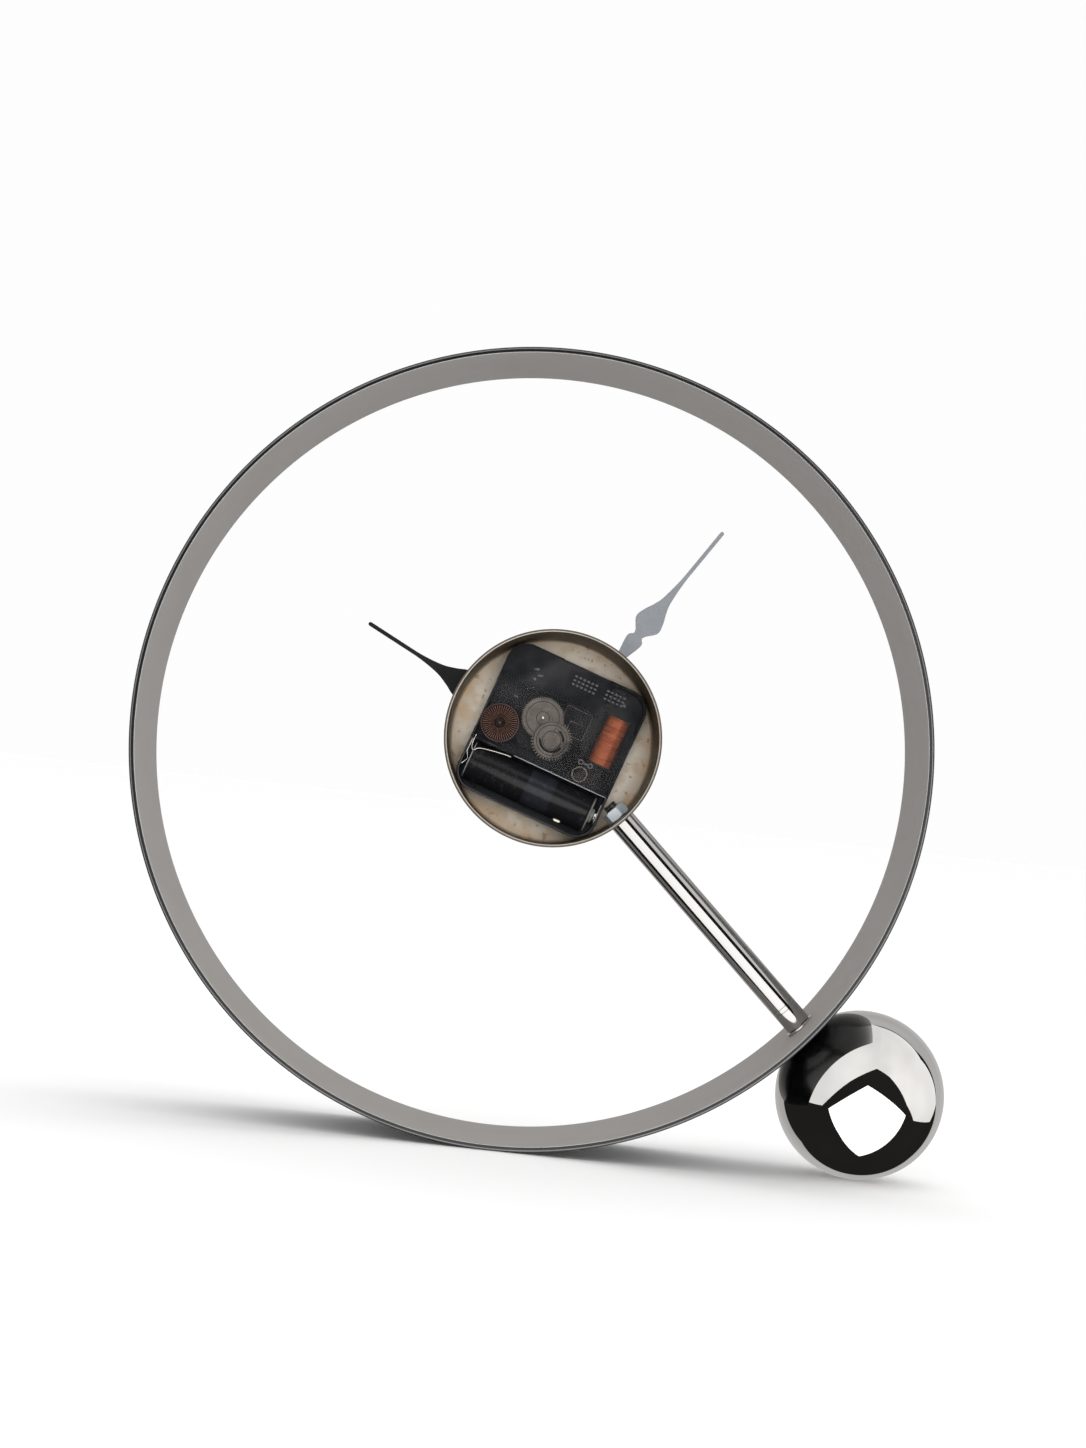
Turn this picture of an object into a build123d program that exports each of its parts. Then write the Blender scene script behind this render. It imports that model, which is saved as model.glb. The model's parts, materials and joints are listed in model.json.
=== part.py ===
from build123d import *
import math
import os

# Hoop clock: a wide hoop that stands on its rim and on a ball, with a cup in
# the middle that holds a battery movement. Millimetres, +Z up, the hands face
# -Y and the open back of the cup faces +Y. The origin is on the floor, under
# the middle of the bounding box.

# ---- frame of the clock ------------------------------------------------------
hoop_radius = 140.0
hoop_wall = 2.0
hoop_width = 60.0
hoop_edge_round = 0.4

ball_radius = 30.0
ball_wall = 1.5
ball_gap = 0.05
ball_boss_radius = 6.0
ball_boss_depth = 12.0

cup_room = 0.69
cup_wall = 1.0
cup_floor = 1.2
cup_depth = 48.0
cup_floor_round = 1.5
hub_shift_x = -6.9
hub_shift_z = 4.4

rod_radius = 4.75
tenon_radius = 2.5
tenon_past_nut = 2.0
nut_across_flats = 8.0
nut_thickness = 4.0
nut_turn = 13.0
rod_washer_radius = 5.5
rod_washer_thickness = 0.8
stud_radius = 2.5
stud_depth_in_rod = 10.0
thread_clearance = 0.05
hole_clearance = 0.1

# ---- movement, measured from the front face of its case -----------------------
movement_turn = -18.7
knob_edge_gap = 0.52
case_top = 28.5
case_bottom = -28.8
case_corner = 7.5
case_thickness = 15.0
case_wall = 0.8
case_floor = 1.4
cover_thickness = 1.6
cover_notch_depth = 0.7
top_notch = (-8.0, 10.3)
left_notch = (4.9, 11.4)
right_notch = (2.5, 9.2)
bay_edge = -11.0
bay_floor = 0.6
partition_wall = 0.8

battery_radius = 7.1
battery_length = 49.5
battery_nub_radius = 2.75
battery_nub_length = 1.3
battery_edge_round = 0.8
battery_axis_y = -18.8
battery_spring_room = 2.0
battery_clearance = 0.1
contact_thickness = 0.3
contact_width = 6.0
contact_below = 2.4
contact_above = 5.0

rubber_thickness = 1.0
rubber_radius = 11.0
bush_radius = 3.9
bush_flange_radius = 5.2
bush_flange_thickness = 0.4
bush_past_nut = 0.4
mounting_washer_radius = 7.5
mounting_washer_thickness = 0.4
mounting_nut_flats = 11.0
mounting_nut_thickness = 1.6

# ---- arbors and hands ----------------------------------------------------------
running_clearance = 0.05
tube_clearance = 0.1
minute_arbor_radius = 1.5
hour_tube_wall = 0.9
hand_seat_radius = 1.2
pivot_radius = 0.45
pivot_depth = 1.3
pivot_end_gap = 0.5
boss_radius = 1.2
boss_height = 1.6
motion_post_radius = 0.7
set_stem_radius = 1.0
set_knob_radius = 7.0
set_knob_thickness = 1.9
set_knob_serrations = 60
set_knob_tooth = 0.35

hand_thickness = 0.4
hand_gap = 0.3
hour_collet_wall = 0.8
hour_collet_length = 1.1
minute_collet_wall = 1.0
minute_collet_length = 0.9
cap_radius = 2.6
cap_length = 1.0
hour_hand_angle = 63.2
minute_hand_angle = -33.3
hour_hand_length = 80.0
minute_hand_length = 100.0

# ---- gear train ------------------------------------------------------------------
# Teeth are short and narrow, so that wheels can turn against each other freely.
wheel_tooth = {"add": 0.8, "ded": 1.2, "root": 0.27, "pitch": 0.20, "tip": 0.08}
pinion_tooth = {"add": 0.8, "ded": 1.2, "root": 0.24, "pitch": 0.18, "tip": 0.08}
wheel_thickness = 0.8
train_wheel_thickness = 0.7
pinion_overhang = 0.2

motion_module = 0.4
cannon_teeth = 10
minute_wheel_teeth = 30
minute_pinion_teeth = 8
hour_wheel_teeth = 32
set_gear_teeth = 29

rotor_pinion_teeth = 8
intermediate_wheel_teeth = 48
intermediate_pinion_teeth = 8
second_wheel_teeth = 40
second_pinion_teeth = 8
third_wheel_teeth = 60
third_pinion_teeth = 8
centre_gear_teeth = 64

intermediate_at = (8.0, -3.5)
rotor_at = (14.2, -7.1)
third_at = (-6.3, 6.0)
set_wheel_direction = 186.4

hour_wheel_z = 2.0
motion_z = 3.2
centre_gear_z = 5.0
third_wheel_z = 6.4
second_wheel_z = 7.8
intermediate_wheel_z = 9.2
train_top = 13.0
second_hub_radius = 2.8
second_hub_height = 1.1
slot_radius = 4.2
slot_width = 0.9

# ---- motor and electronics ----------------------------------------------------------
magnet_radius = 2.4
magnet_bottom = 5.0
magnet_top = 8.4
magnet_gap = 0.4
coil_at = (19.2, 8.1)
coil_length = 19.8
coil_width = 8.5
coil_flange = 9.2
coil_flange_thickness = 0.8
coil_axis_z = 6.7
core_width = 2.4
core_height = 1.4
core_past_coil = 2.2
bobbin_wall = 0.5
stator_thickness = 0.6
stator_left = 10.3
stator_arm_width = 3.0
bridge_thickness = 1.8
bridge_end_radius = 2.2
board_left = -21.0
board_right = 9.5
board_bottom = 15.2
board_top = 25.5
board_thickness = 1.0
board_lift = 1.0
chip_size = 5.0
chip_height = 0.8
crystal_radius = 1.0
crystal_length = 6.0

# ---- places worked out from the sizes -------------------------------------------------
motion_distance = motion_module * (cannon_teeth + minute_wheel_teeth) / 2
set_distance = motion_module * (minute_wheel_teeth + set_gear_teeth) / 2
set_angle = math.radians(set_wheel_direction)
minute_wheel_at = (motion_distance * math.cos(set_angle), motion_distance * math.sin(set_angle))
set_reach = motion_distance + set_distance
set_wheel_at = (set_reach * math.cos(set_angle), set_reach * math.sin(set_angle))
case_width = 2 * (abs(set_wheel_at[0]) + set_knob_radius + knob_edge_gap)
case_height = max(case_top, -case_bottom)
case_reach = math.hypot(case_width / 2 - case_corner, case_height - case_corner) + case_corner
cup_inner = case_reach + cup_room
cup_radius = cup_inner + cup_wall
battery_start_x = -(case_width / 2 - case_wall) + battery_spring_room

hoop_inner = hoop_radius - hoop_wall
centre_distance = hoop_radius + ball_radius + ball_gap
ball_drop = ball_radius - hoop_radius
ball_shift = -math.sqrt(centre_distance ** 2 - ball_drop ** 2)
left_end = min(ball_shift - ball_radius, -hoop_radius)
hoop_x = -(left_end + hoop_radius) / 2
hub_x = hoop_x + hub_shift_x
hub_z = hoop_radius + hub_shift_z
ball_x = hoop_x + ball_shift
cup_front = -cup_depth / 2
case_front = cup_front + cup_floor + rubber_thickness

bush_end = -(rubber_thickness + cup_floor + mounting_washer_thickness
             + mounting_nut_thickness + bush_past_nut)
hour_tube_bore = minute_arbor_radius + tube_clearance
hour_tube_radius = hour_tube_bore + hour_tube_wall
bush_bore = hour_tube_radius + tube_clearance
bush_hole = bush_radius + hole_clearance
hour_collet_top = bush_end - hand_gap
hour_tube_end = hour_collet_top - hour_collet_length
minute_collet_top = hour_tube_end - hand_gap
minute_collet_end = minute_collet_top - minute_collet_length
hour_hand_z = hour_collet_top - 0.3
minute_hand_z = minute_collet_top - 0.3

cover_z = case_thickness - cover_thickness

CENTRE = (Align.CENTER, Align.CENTER, Align.CENTER)
STANDING = (Align.CENTER, Align.CENTER, Align.MIN)
TOWARDS_BACK = (0, 1, 0)

turn = math.radians(movement_turn)
dial = Location(Plane((hub_x, case_front, hub_z), x_dir=(-1, 0, 0), z_dir=TOWARDS_BACK))
movement = Location(
    Plane(
        (hub_x, case_front, hub_z),
        x_dir=(-math.cos(turn), 0, math.sin(turn)),
        z_dir=TOWARDS_BACK,
    )
)


# ---- helpers ---------------------------------------------------------------------------
def save(name, shape):
    """Write one named piece of the clock, which is a single solid."""
    export_step(shape.solid(), f"parts/{name}.step")


def disc(radius, bottom, top, at=(0, 0)):
    """Round plate between two heights."""
    return Pos(at[0], at[1], bottom) * Cylinder(radius, top - bottom, align=STANDING)


def slab(left, right, front, back, bottom, top):
    """Rectangular block between six planes."""
    size = (right - left, back - front, top - bottom)
    middle = ((left + right) / 2, (front + back) / 2, (bottom + top) / 2)
    return Pos(*middle) * Box(*size)


def hexagon(across_flats, bottom, top, angle=0.0):
    """Hexagonal prism between two heights."""
    corner = across_flats / math.sqrt(3)
    face = Rot(0, 0, angle) * RegularPolygon(corner, 6)
    return Pos(0, 0, bottom) * extrude(face, top - bottom)


def distance(a, b):
    return math.hypot(b[0] - a[0], b[1] - a[1])


def bearing(a, b):
    """Direction from a to b, in degrees."""
    return math.degrees(math.atan2(b[1] - a[1], b[0] - a[0]))


def module_for(a, b, teeth_a, teeth_b):
    """Module that makes two gears mesh at the distance between their centres."""
    return 2 * distance(a, b) / (teeth_a + teeth_b)


def toothed(teeth, module, bottom, top, phase, tooth, at=(0, 0)):
    """Toothed disc with one tooth pointing at the angle phase."""
    pitch_radius = module * teeth / 2
    root_radius = pitch_radius - tooth["ded"] * module
    tip_radius = pitch_radius + tooth["add"] * module
    flank = [(root_radius, tooth["root"]), (pitch_radius, tooth["pitch"]), (tip_radius, tooth["tip"])]
    corners = [(r, -w) for r, w in flank] + [(r, w) for r, w in reversed(flank)]
    points = []
    for index in range(teeth):
        for radius, width in corners:
            angle = math.radians(phase + 360.0 * (index + width) / teeth)
            points.append((radius * math.cos(angle), radius * math.sin(angle)))
    face = make_face(Polyline(*points, close=True))
    return Pos(at[0], at[1], bottom) * extrude(face, top - bottom)


def meshed_phase(phase, teeth, other_teeth, direction):
    """Phase of the second gear whose gap takes the first gear's nearest tooth."""
    return direction + 180 + 180 / other_teeth - (phase - direction) * teeth / other_teeth


# ---- frame of the clock --------------------------------------------------------------------
hoop_frame = Location(Plane((hoop_x, 0, hoop_radius), x_dir=(-1, 0, 0), z_dir=TOWARDS_BACK))
hub_frame = Location(Plane((hub_x, 0, hub_z), x_dir=(-1, 0, 0), z_dir=TOWARDS_BACK))

hub_to_ball = Vector(ball_x - hub_x, 0, ball_radius - hub_z)
rod_direction = hub_to_ball.normalized()
rod_frame = Location(Plane((hub_x, 0, hub_z), x_dir=(0, 1, 0), z_dir=tuple(rod_direction)))

hub_offset = Vector(hub_shift_x, 0, hub_shift_z)
along = hub_offset.dot(rod_direction)
hoop_reach = -along + math.sqrt(along ** 2 - hub_offset.length ** 2 + hoop_inner ** 2)
rod_end = hoop_reach - rod_washer_thickness
ball_reach = hub_to_ball.length
stud_hole = stud_radius + thread_clearance
nut_corner = nut_across_flats / math.sqrt(3)
nut_seat = math.sqrt(cup_inner ** 2 - nut_corner ** 2)


def rod_bore(radius, start, end):
    """Round hole along the rod's axis, measured from the cup's centre."""
    return rod_frame * disc(radius, start, end)


def make_hoop():
    band = Cylinder(hoop_radius, hoop_width) - Cylinder(hoop_inner, hoop_width)
    rims = band.edges().filter_by(GeomType.CIRCLE)
    band = fillet(rims, hoop_edge_round)
    hole = rod_bore(stud_radius + hole_clearance, rod_end, hoop_reach + 4 * hoop_wall)
    return hoop_frame * band - hole


def make_cup():
    shell = Cylinder(cup_radius, cup_depth)
    front_rim = shell.edges().filter_by(GeomType.CIRCLE).sort_by(Axis.Z)[0]
    shell = fillet(front_rim, cup_floor_round)
    room = disc(cup_inner, cup_front + cup_floor, cup_depth)
    shell -= room
    shell -= disc(bush_hole, -cup_depth, 0)
    hole = rod_bore(tenon_radius + hole_clearance, cup_inner - 4 * cup_wall, cup_radius + 4 * cup_wall)
    return hub_frame * shell - hole


def make_rod():
    bar = rod_frame * disc(rod_radius, cup_inner, rod_end)
    bar -= hub_frame * Cylinder(cup_radius, cup_depth)
    tenon_start = nut_seat - nut_thickness - tenon_past_nut
    bar += rod_frame * disc(tenon_radius, tenon_start, cup_radius + rod_radius)
    return bar - rod_bore(stud_hole, rod_end - stud_depth_in_rod, rod_end)


def make_rod_washer():
    blank = rod_frame * disc(rod_washer_radius, rod_end, hoop_reach + hoop_wall)
    blank &= hoop_frame * Cylinder(hoop_inner, hoop_width)
    return blank - rod_bore(stud_radius + hole_clearance, rod_end, hoop_reach + hoop_wall)


def make_ball():
    shell = Sphere(ball_radius) - Sphere(ball_radius - ball_wall)
    ball = Pos(ball_x, 0, ball_radius) * shell
    boss_end = ball_reach - ball_radius + ball_boss_depth
    boss = rod_frame * disc(ball_boss_radius, ball_reach - ball_radius, boss_end)
    boss &= Pos(ball_x, 0, ball_radius) * Sphere(ball_radius - ball_wall / 2)
    ball += boss
    return ball - rod_bore(stud_hole, hoop_reach, boss_end)


def make_stud():
    end = ball_reach - ball_radius + ball_boss_depth
    return rod_frame * disc(stud_radius, rod_end - stud_depth_in_rod, end)


def make_hub_nut():
    nut = hexagon(nut_across_flats, nut_seat - nut_thickness, nut_seat, nut_turn)
    nut -= disc(tenon_radius + thread_clearance, 0, cup_radius)
    return rod_frame * nut


# ---- movement case ------------------------------------------------------------------------------
def case_face(inset):
    """Outline of the movement's case, drawn in by a wall."""
    width = case_width - 2 * inset
    height = case_top - case_bottom - 2 * inset
    middle = (case_top + case_bottom) / 2
    return Pos(0, middle) * RectangleRounded(width, height, case_corner - inset)


def case_room(inset, front, back, bottom, top):
    """Space inside the case's outline between two cross lines and two heights."""
    prism = Pos(0, 0, bottom) * extrude(case_face(inset), top - bottom)
    return prism & slab(-case_width, case_width, front, back, bottom, top)


def recess_face(radius, left, top, bottom):
    """Plan of the pocket round the setting wheel: a round corner and two straight sides."""
    x, y = set_wheel_at
    pocket = Pos(x, y) * Circle(radius)
    pocket += Pos((left + x) / 2, (top + bottom) / 2) * Rectangle(x - left, top - bottom)
    pocket += Pos(x + radius / 2, (y + bottom) / 2) * Rectangle(radius, y - bottom)
    return pocket


recess_radius = set_knob_radius + 1.7
recess_left = -case_width / 2 + case_wall + hole_clearance
recess_bottom = bay_edge + partition_wall + hole_clearance
recess_top = set_wheel_at[1] + recess_radius
recess_floor_top = case_thickness - 3.0
recess_floor_bottom = recess_floor_top - 1.0
recess_wall = 1.0
pivots_up = [(0, 0), third_at]
pivots_down = [third_at, intermediate_at, rotor_at]
pivot_hole = pivot_radius + running_clearance
battery_z = bay_floor + battery_clearance + battery_radius
posts = [(board_left + 3, board_top - 4), (board_right - 3, board_top - 4)]


def make_case():
    case = extrude(case_face(0), case_thickness)
    room_front = bay_edge + partition_wall
    case -= case_room(case_wall, room_front, case_top, case_floor, case_thickness)
    case -= case_room(case_wall, case_bottom, bay_edge, bay_floor, case_thickness)
    case -= slab(-case_width, case_width, bay_edge, case_top, cover_z, case_thickness)
    case -= disc(bush_radius, 0, case_floor)
    case -= disc(recess_radius, recess_floor_top, case_thickness, set_wheel_at)
    for at in pivots_down:
        case += disc(boss_radius, case_floor, case_floor + boss_height, at)
        case -= disc(pivot_hole, case_floor + boss_height - pivot_depth, case_thickness, at)
    stem_top = case_floor + boss_height - running_clearance * 4
    case += disc(set_stem_radius + 0.6, case_floor, stem_top, set_wheel_at)
    case -= disc(set_stem_radius + running_clearance, case_floor, case_thickness, set_wheel_at)
    case += disc(motion_post_radius, case_floor, motion_z + wheel_thickness + 0.4, minute_wheel_at)
    for at in posts:
        case += disc(boss_radius, case_floor, case_floor + board_lift, at)
    return movement * case


def make_cover():
    plate = case_room(0, bay_edge, case_top, cover_z, case_thickness)
    pocket = recess_face(recess_radius, recess_left, recess_top, recess_bottom)
    shell = recess_face(
        recess_radius + recess_wall, recess_left, recess_top + recess_wall, recess_bottom
    )
    tray = Pos(0, 0, recess_floor_bottom) * extrude(shell, case_thickness - recess_floor_bottom)
    tray &= case_room(case_wall + hole_clearance, recess_bottom, case_top, 0, case_thickness)
    hollow = Pos(0, 0, recess_floor_top) * extrude(pocket, case_thickness)
    cover = plate + tray - hollow
    edge = case_width / 2 - cover_notch_depth
    cover -= slab(*top_notch, case_top - cover_notch_depth, case_top, cover_z, case_thickness)
    cover -= slab(-case_width, -edge, *left_notch, cover_z, case_thickness)
    cover -= slab(edge, case_width, *right_notch, cover_z, case_thickness)
    cover -= disc(set_stem_radius + running_clearance, 0, case_thickness, set_wheel_at)
    for at in pivots_up:
        cover += disc(boss_radius, cover_z - bridge_thickness, cover_z, at)
        cover -= disc(pivot_hole, 0, train_top + running_clearance * 4, at)
    return movement * cover


def make_gear_bridge():
    ends = [Pos(*at) * Circle(bridge_end_radius) for at in (rotor_at, intermediate_at)]
    middle = ((rotor_at[0] + intermediate_at[0]) / 2, (rotor_at[1] + intermediate_at[1]) / 2)
    web = Rectangle(distance(rotor_at, intermediate_at), 2 * bridge_end_radius)
    face = ends[0] + ends[1] + Pos(*middle) * Rot(0, 0, bearing(intermediate_at, rotor_at)) * web
    plate = Pos(0, 0, cover_z - bridge_thickness) * extrude(face, bridge_thickness)
    for at in (rotor_at, intermediate_at):
        plate -= disc(pivot_hole, 0, case_thickness, at)
    return movement * plate


def make_bush():
    bush = disc(bush_radius, bush_end, case_floor)
    bush += disc(bush_flange_radius, case_floor, case_floor + bush_flange_thickness)
    return movement * (bush - disc(bush_bore, bush_end, case_thickness))


def make_panel_hardware():
    cup_face = -rubber_thickness - cup_floor
    washer_face = cup_face - mounting_washer_thickness
    rubber = disc(rubber_radius, -rubber_thickness, 0) - disc(bush_hole, -rubber_thickness, 0)
    save("rubber_washer", movement * rubber)
    washer = disc(mounting_washer_radius, washer_face, cup_face) - disc(bush_hole, washer_face, 0)
    save("mounting_washer", movement * washer)
    nut = hexagon(mounting_nut_flats, washer_face - mounting_nut_thickness, washer_face)
    nut -= disc(bush_radius + thread_clearance, bush_end, 0)
    save("mounting_nut", movement * nut)


# ---- battery and its contacts --------------------------------------------------------------------
def make_battery():
    body_length = battery_length - battery_nub_length
    body = Cylinder(battery_radius, body_length, align=STANDING)
    body = fillet(body.edges().filter_by(GeomType.CIRCLE), battery_edge_round)
    body += disc(battery_nub_radius, body_length, battery_length)
    return movement * Pos(battery_start_x, battery_axis_y, battery_z) * Rot(0, 90, 0) * body


def make_contacts():
    wall = case_width / 2 - case_wall
    end = battery_start_x + battery_length
    low = battery_z - contact_width / 2
    high = battery_z + contact_width / 2
    near = battery_axis_y - contact_below
    far = battery_axis_y + contact_above
    plate = slab(wall - contact_thickness, wall, near, far, low, high)
    button_start = end + battery_clearance
    button = Cylinder(battery_nub_radius, wall - button_start, align=STANDING)
    button = Pos(button_start, battery_axis_y, battery_z) * Rot(0, 90, 0) * button
    save("positive_contact", movement * (plate + button))

    strip = contact_thickness
    outer = -wall
    reach = battery_start_x - battery_clearance
    path = Polyline(
        (outer + strip / 2, bay_edge - 0.4),
        (outer + strip / 2, battery_axis_y + contact_above / 2),
        (reach - strip, battery_axis_y),
        (outer + strip / 2, near),
    )
    leaf = extrude(make_face(offset(path, strip / 2, kind=Kind.INTERSECTION)), contact_width)
    save("negative_contact", movement * Pos(0, 0, low) * leaf)


# ---- gears ----------------------------------------------------------------------------------------
centre = (0, 0)
third_module = module_for(centre, third_at, third_pinion_teeth, centre_gear_teeth)
second_module = module_for(centre, third_at, second_pinion_teeth, third_wheel_teeth)
intermediate_module = module_for(centre, intermediate_at, intermediate_pinion_teeth, second_wheel_teeth)
rotor_module = module_for(intermediate_at, rotor_at, rotor_pinion_teeth, intermediate_wheel_teeth)

cannon_phase = 0.0
minute_wheel_phase = meshed_phase(cannon_phase, cannon_teeth, minute_wheel_teeth, set_wheel_direction)
set_gear_phase = meshed_phase(
    minute_wheel_phase, minute_wheel_teeth, set_gear_teeth, set_wheel_direction
)
minute_pinion_phase = 0.0
hour_wheel_phase = meshed_phase(
    minute_pinion_phase, minute_pinion_teeth, hour_wheel_teeth, set_wheel_direction + 180
)
second_phase = 0.0
third_wheel_phase = meshed_phase(
    second_phase, second_pinion_teeth, third_wheel_teeth, bearing(centre, third_at)
)
third_pinion_phase = 0.0
centre_gear_phase = meshed_phase(
    third_pinion_phase, third_pinion_teeth, centre_gear_teeth, bearing(third_at, centre)
)
intermediate_phase = meshed_phase(
    second_phase, second_wheel_teeth, intermediate_pinion_teeth, bearing(centre, intermediate_at)
)
intermediate_wheel_phase = 0.0
rotor_phase = meshed_phase(
    intermediate_wheel_phase, intermediate_wheel_teeth, rotor_pinion_teeth,
    bearing(intermediate_at, rotor_at),
)


def train_wheel(teeth, module, z, phase, at):
    return toothed(teeth, module, z, z + train_wheel_thickness, phase, wheel_tooth, at)


def train_pinion(teeth, module, z, phase, at):
    """Pinion a little taller than the wheel that it drives, at that wheel's height."""
    top = z + train_wheel_thickness + pinion_overhang
    return toothed(teeth, module, z - pinion_overhang, top, phase, pinion_tooth, at)


def arbor(bottom, at):
    return disc(pivot_radius, bottom, train_top, at)


pivot_bottom = case_floor + boss_height - pivot_depth + running_clearance * 4


def make_rotor():
    rotor = train_pinion(rotor_pinion_teeth, rotor_module, intermediate_wheel_z, rotor_phase, rotor_at)
    rotor += disc(magnet_radius, magnet_bottom, magnet_top, rotor_at)
    return movement * (rotor + arbor(pivot_bottom, rotor_at))


def make_intermediate_wheel():
    wheel = train_wheel(
        intermediate_wheel_teeth, rotor_module, intermediate_wheel_z,
        intermediate_wheel_phase, intermediate_at,
    )
    wheel += train_pinion(
        intermediate_pinion_teeth, intermediate_module, second_wheel_z,
        intermediate_phase, intermediate_at,
    )
    pinion_top = second_wheel_z + train_wheel_thickness + pinion_overhang
    wheel += disc(3 * pivot_radius, pinion_top, intermediate_wheel_z, intermediate_at)
    return movement * (wheel + arbor(pivot_bottom, intermediate_at))


def make_second_wheel():
    wheel = train_wheel(second_wheel_teeth, intermediate_module, second_wheel_z, second_phase, centre)
    for side in (0, 180):
        slot = SlotArc(CenterArc((0, 0), slot_radius, side + 20, 140), slot_width)
        wheel -= Pos(0, 0, second_wheel_z) * extrude(slot, train_wheel_thickness)
    wheel += disc(second_hub_radius, second_wheel_z, second_wheel_z + second_hub_height)
    wheel += train_pinion(second_pinion_teeth, second_module, third_wheel_z, second_phase, centre)
    return movement * (wheel + arbor(arbor_hole_bottom + running_clearance * 4, centre))


def make_third_wheel():
    wheel = train_wheel(third_wheel_teeth, second_module, third_wheel_z, third_wheel_phase, third_at)
    wheel += train_pinion(third_pinion_teeth, third_module, centre_gear_z, third_pinion_phase, third_at)
    return movement * (wheel + arbor(pivot_bottom, third_at))


centre_seat_radius = 1.0
centre_seat_top = third_wheel_z - pinion_overhang - 0.2
arbor_hole_bottom = centre_seat_top - pivot_depth


def make_centre_gear():
    gear = train_wheel(centre_gear_teeth, third_module, centre_gear_z, centre_gear_phase, centre)
    gear += disc(2 * centre_seat_radius, centre_gear_z - 0.4, centre_seat_top)
    return movement * (gear - disc(centre_seat_radius + running_clearance, 0, case_thickness))


def make_minute_arbor():
    shaft = disc(minute_arbor_radius, minute_collet_top, motion_z)
    shaft += disc(hand_seat_radius, minute_collet_end - 0.7 * cap_length, motion_z)
    cannon_top = motion_z + wheel_thickness + pinion_overhang
    shaft += toothed(
        cannon_teeth, motion_module, motion_z - 0.1, cannon_top, cannon_phase, pinion_tooth
    )
    shaft += disc(centre_seat_radius, motion_z, centre_seat_top)
    return movement * (shaft - disc(pivot_hole, arbor_hole_bottom, case_thickness))


def make_minute_wheel():
    top = motion_z + wheel_thickness
    wheel = toothed(
        minute_wheel_teeth, motion_module, motion_z, top,
        minute_wheel_phase, wheel_tooth, minute_wheel_at,
    )
    wheel += toothed(
        minute_pinion_teeth, motion_module, case_floor + 0.3, motion_z,
        minute_pinion_phase, pinion_tooth, minute_wheel_at,
    )
    bore = disc(motion_post_radius + running_clearance, 0, case_thickness, minute_wheel_at)
    return movement * (wheel - bore)


def make_hour_wheel():
    top = hour_wheel_z + wheel_thickness
    wheel = toothed(hour_wheel_teeth, motion_module, hour_wheel_z, top, hour_wheel_phase, wheel_tooth)
    wheel += disc(hour_tube_radius, hour_tube_end, top)
    return movement * (wheel - disc(hour_tube_bore, hour_tube_end, top))


def make_set_wheel():
    gear_top = motion_z + wheel_thickness
    wheel = toothed(
        set_gear_teeth, motion_module, motion_z, gear_top, set_gear_phase, wheel_tooth, set_wheel_at
    )
    knob_bottom = recess_floor_top + 0.3
    wheel += disc(set_stem_radius, case_floor + 0.3, knob_bottom, set_wheel_at)
    knob = Circle(set_knob_radius - set_knob_tooth)
    for index in range(set_knob_serrations):
        angle = 360.0 * index / set_knob_serrations
        tooth = Rectangle(2 * set_knob_tooth, set_knob_tooth)
        knob += Rot(0, 0, angle) * Pos(set_knob_radius - set_knob_tooth, 0) * tooth
    solid = Pos(set_wheel_at[0], set_wheel_at[1], knob_bottom) * extrude(knob, set_knob_thickness)
    return movement * (wheel + solid)


# ---- motor and electronics ------------------------------------------------------------------------
def make_coil():
    x, y = coil_at
    near = y - coil_length / 2
    far = y + coil_length / 2
    half = coil_flange / 2
    core = slab(
        x - core_width / 2, x + core_width / 2, near - core_past_coil, far + core_past_coil,
        coil_axis_z - core_height / 2, coil_axis_z + core_height / 2,
    )
    save("coil_core", movement * core)

    flange_top = 2 * coil_axis_z - case_floor
    bobbin = slab(x - half, x + half, near, near + coil_flange_thickness, case_floor, flange_top)
    bobbin += slab(x - half, x + half, far - coil_flange_thickness, far, case_floor, flange_top)
    tube = core_width / 2 + bobbin_wall
    sleeve = slab(
        x - tube, x + tube, near, far,
        coil_axis_z - core_height / 2 - bobbin_wall, coil_axis_z + core_height / 2 + bobbin_wall,
    )
    save("coil_bobbin", movement * (bobbin + sleeve - core))

    start = near + coil_flange_thickness
    length = coil_length - 2 * coil_flange_thickness
    turns = extrude(RectangleRounded(coil_width, coil_width, coil_width * 0.4), length)
    turns = Pos(x, start + length, coil_axis_z) * Rot(90, 0, 0) * turns
    save("coil_winding", movement * (turns - sleeve))


def make_stator():
    x, y = coil_at
    bottom = coil_axis_z + core_height / 2
    top = bottom + stator_thickness
    right = x + core_width
    low_edge = bay_edge + partition_wall + hole_clearance / 2
    near = y - coil_length / 2 - hole_clearance
    far = y + coil_length / 2 + hole_clearance
    plate = slab(stator_left, right, low_edge, near, bottom, top)
    plate += slab(stator_left, stator_left + stator_arm_width, near, far, bottom, top)
    plate += slab(stator_left, right, far, far + core_past_coil, bottom, top)
    return movement * (plate - disc(magnet_radius + magnet_gap, 0, case_thickness, rotor_at))


def make_electronics():
    bottom = case_floor + board_lift
    top = bottom + board_thickness
    board = slab(board_left, board_right, board_bottom, board_top, bottom, top)
    save("circuit_board", movement * board)
    middle = (board_bottom + board_top) / 2
    chip_x = (board_left + 2 * board_right) / 3
    chip = Pos(chip_x, middle, top + chip_height / 2) * Box(chip_size, chip_size, chip_height)
    save("circuit_chip", movement * chip)
    crystal_x = (2 * board_left + board_right) / 3
    crystal = Cylinder(crystal_radius, crystal_length)
    crystal = Pos(crystal_x, middle, top + crystal_radius) * Rot(0, 90, 0) * crystal
    save("quartz_crystal", movement * crystal)


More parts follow.
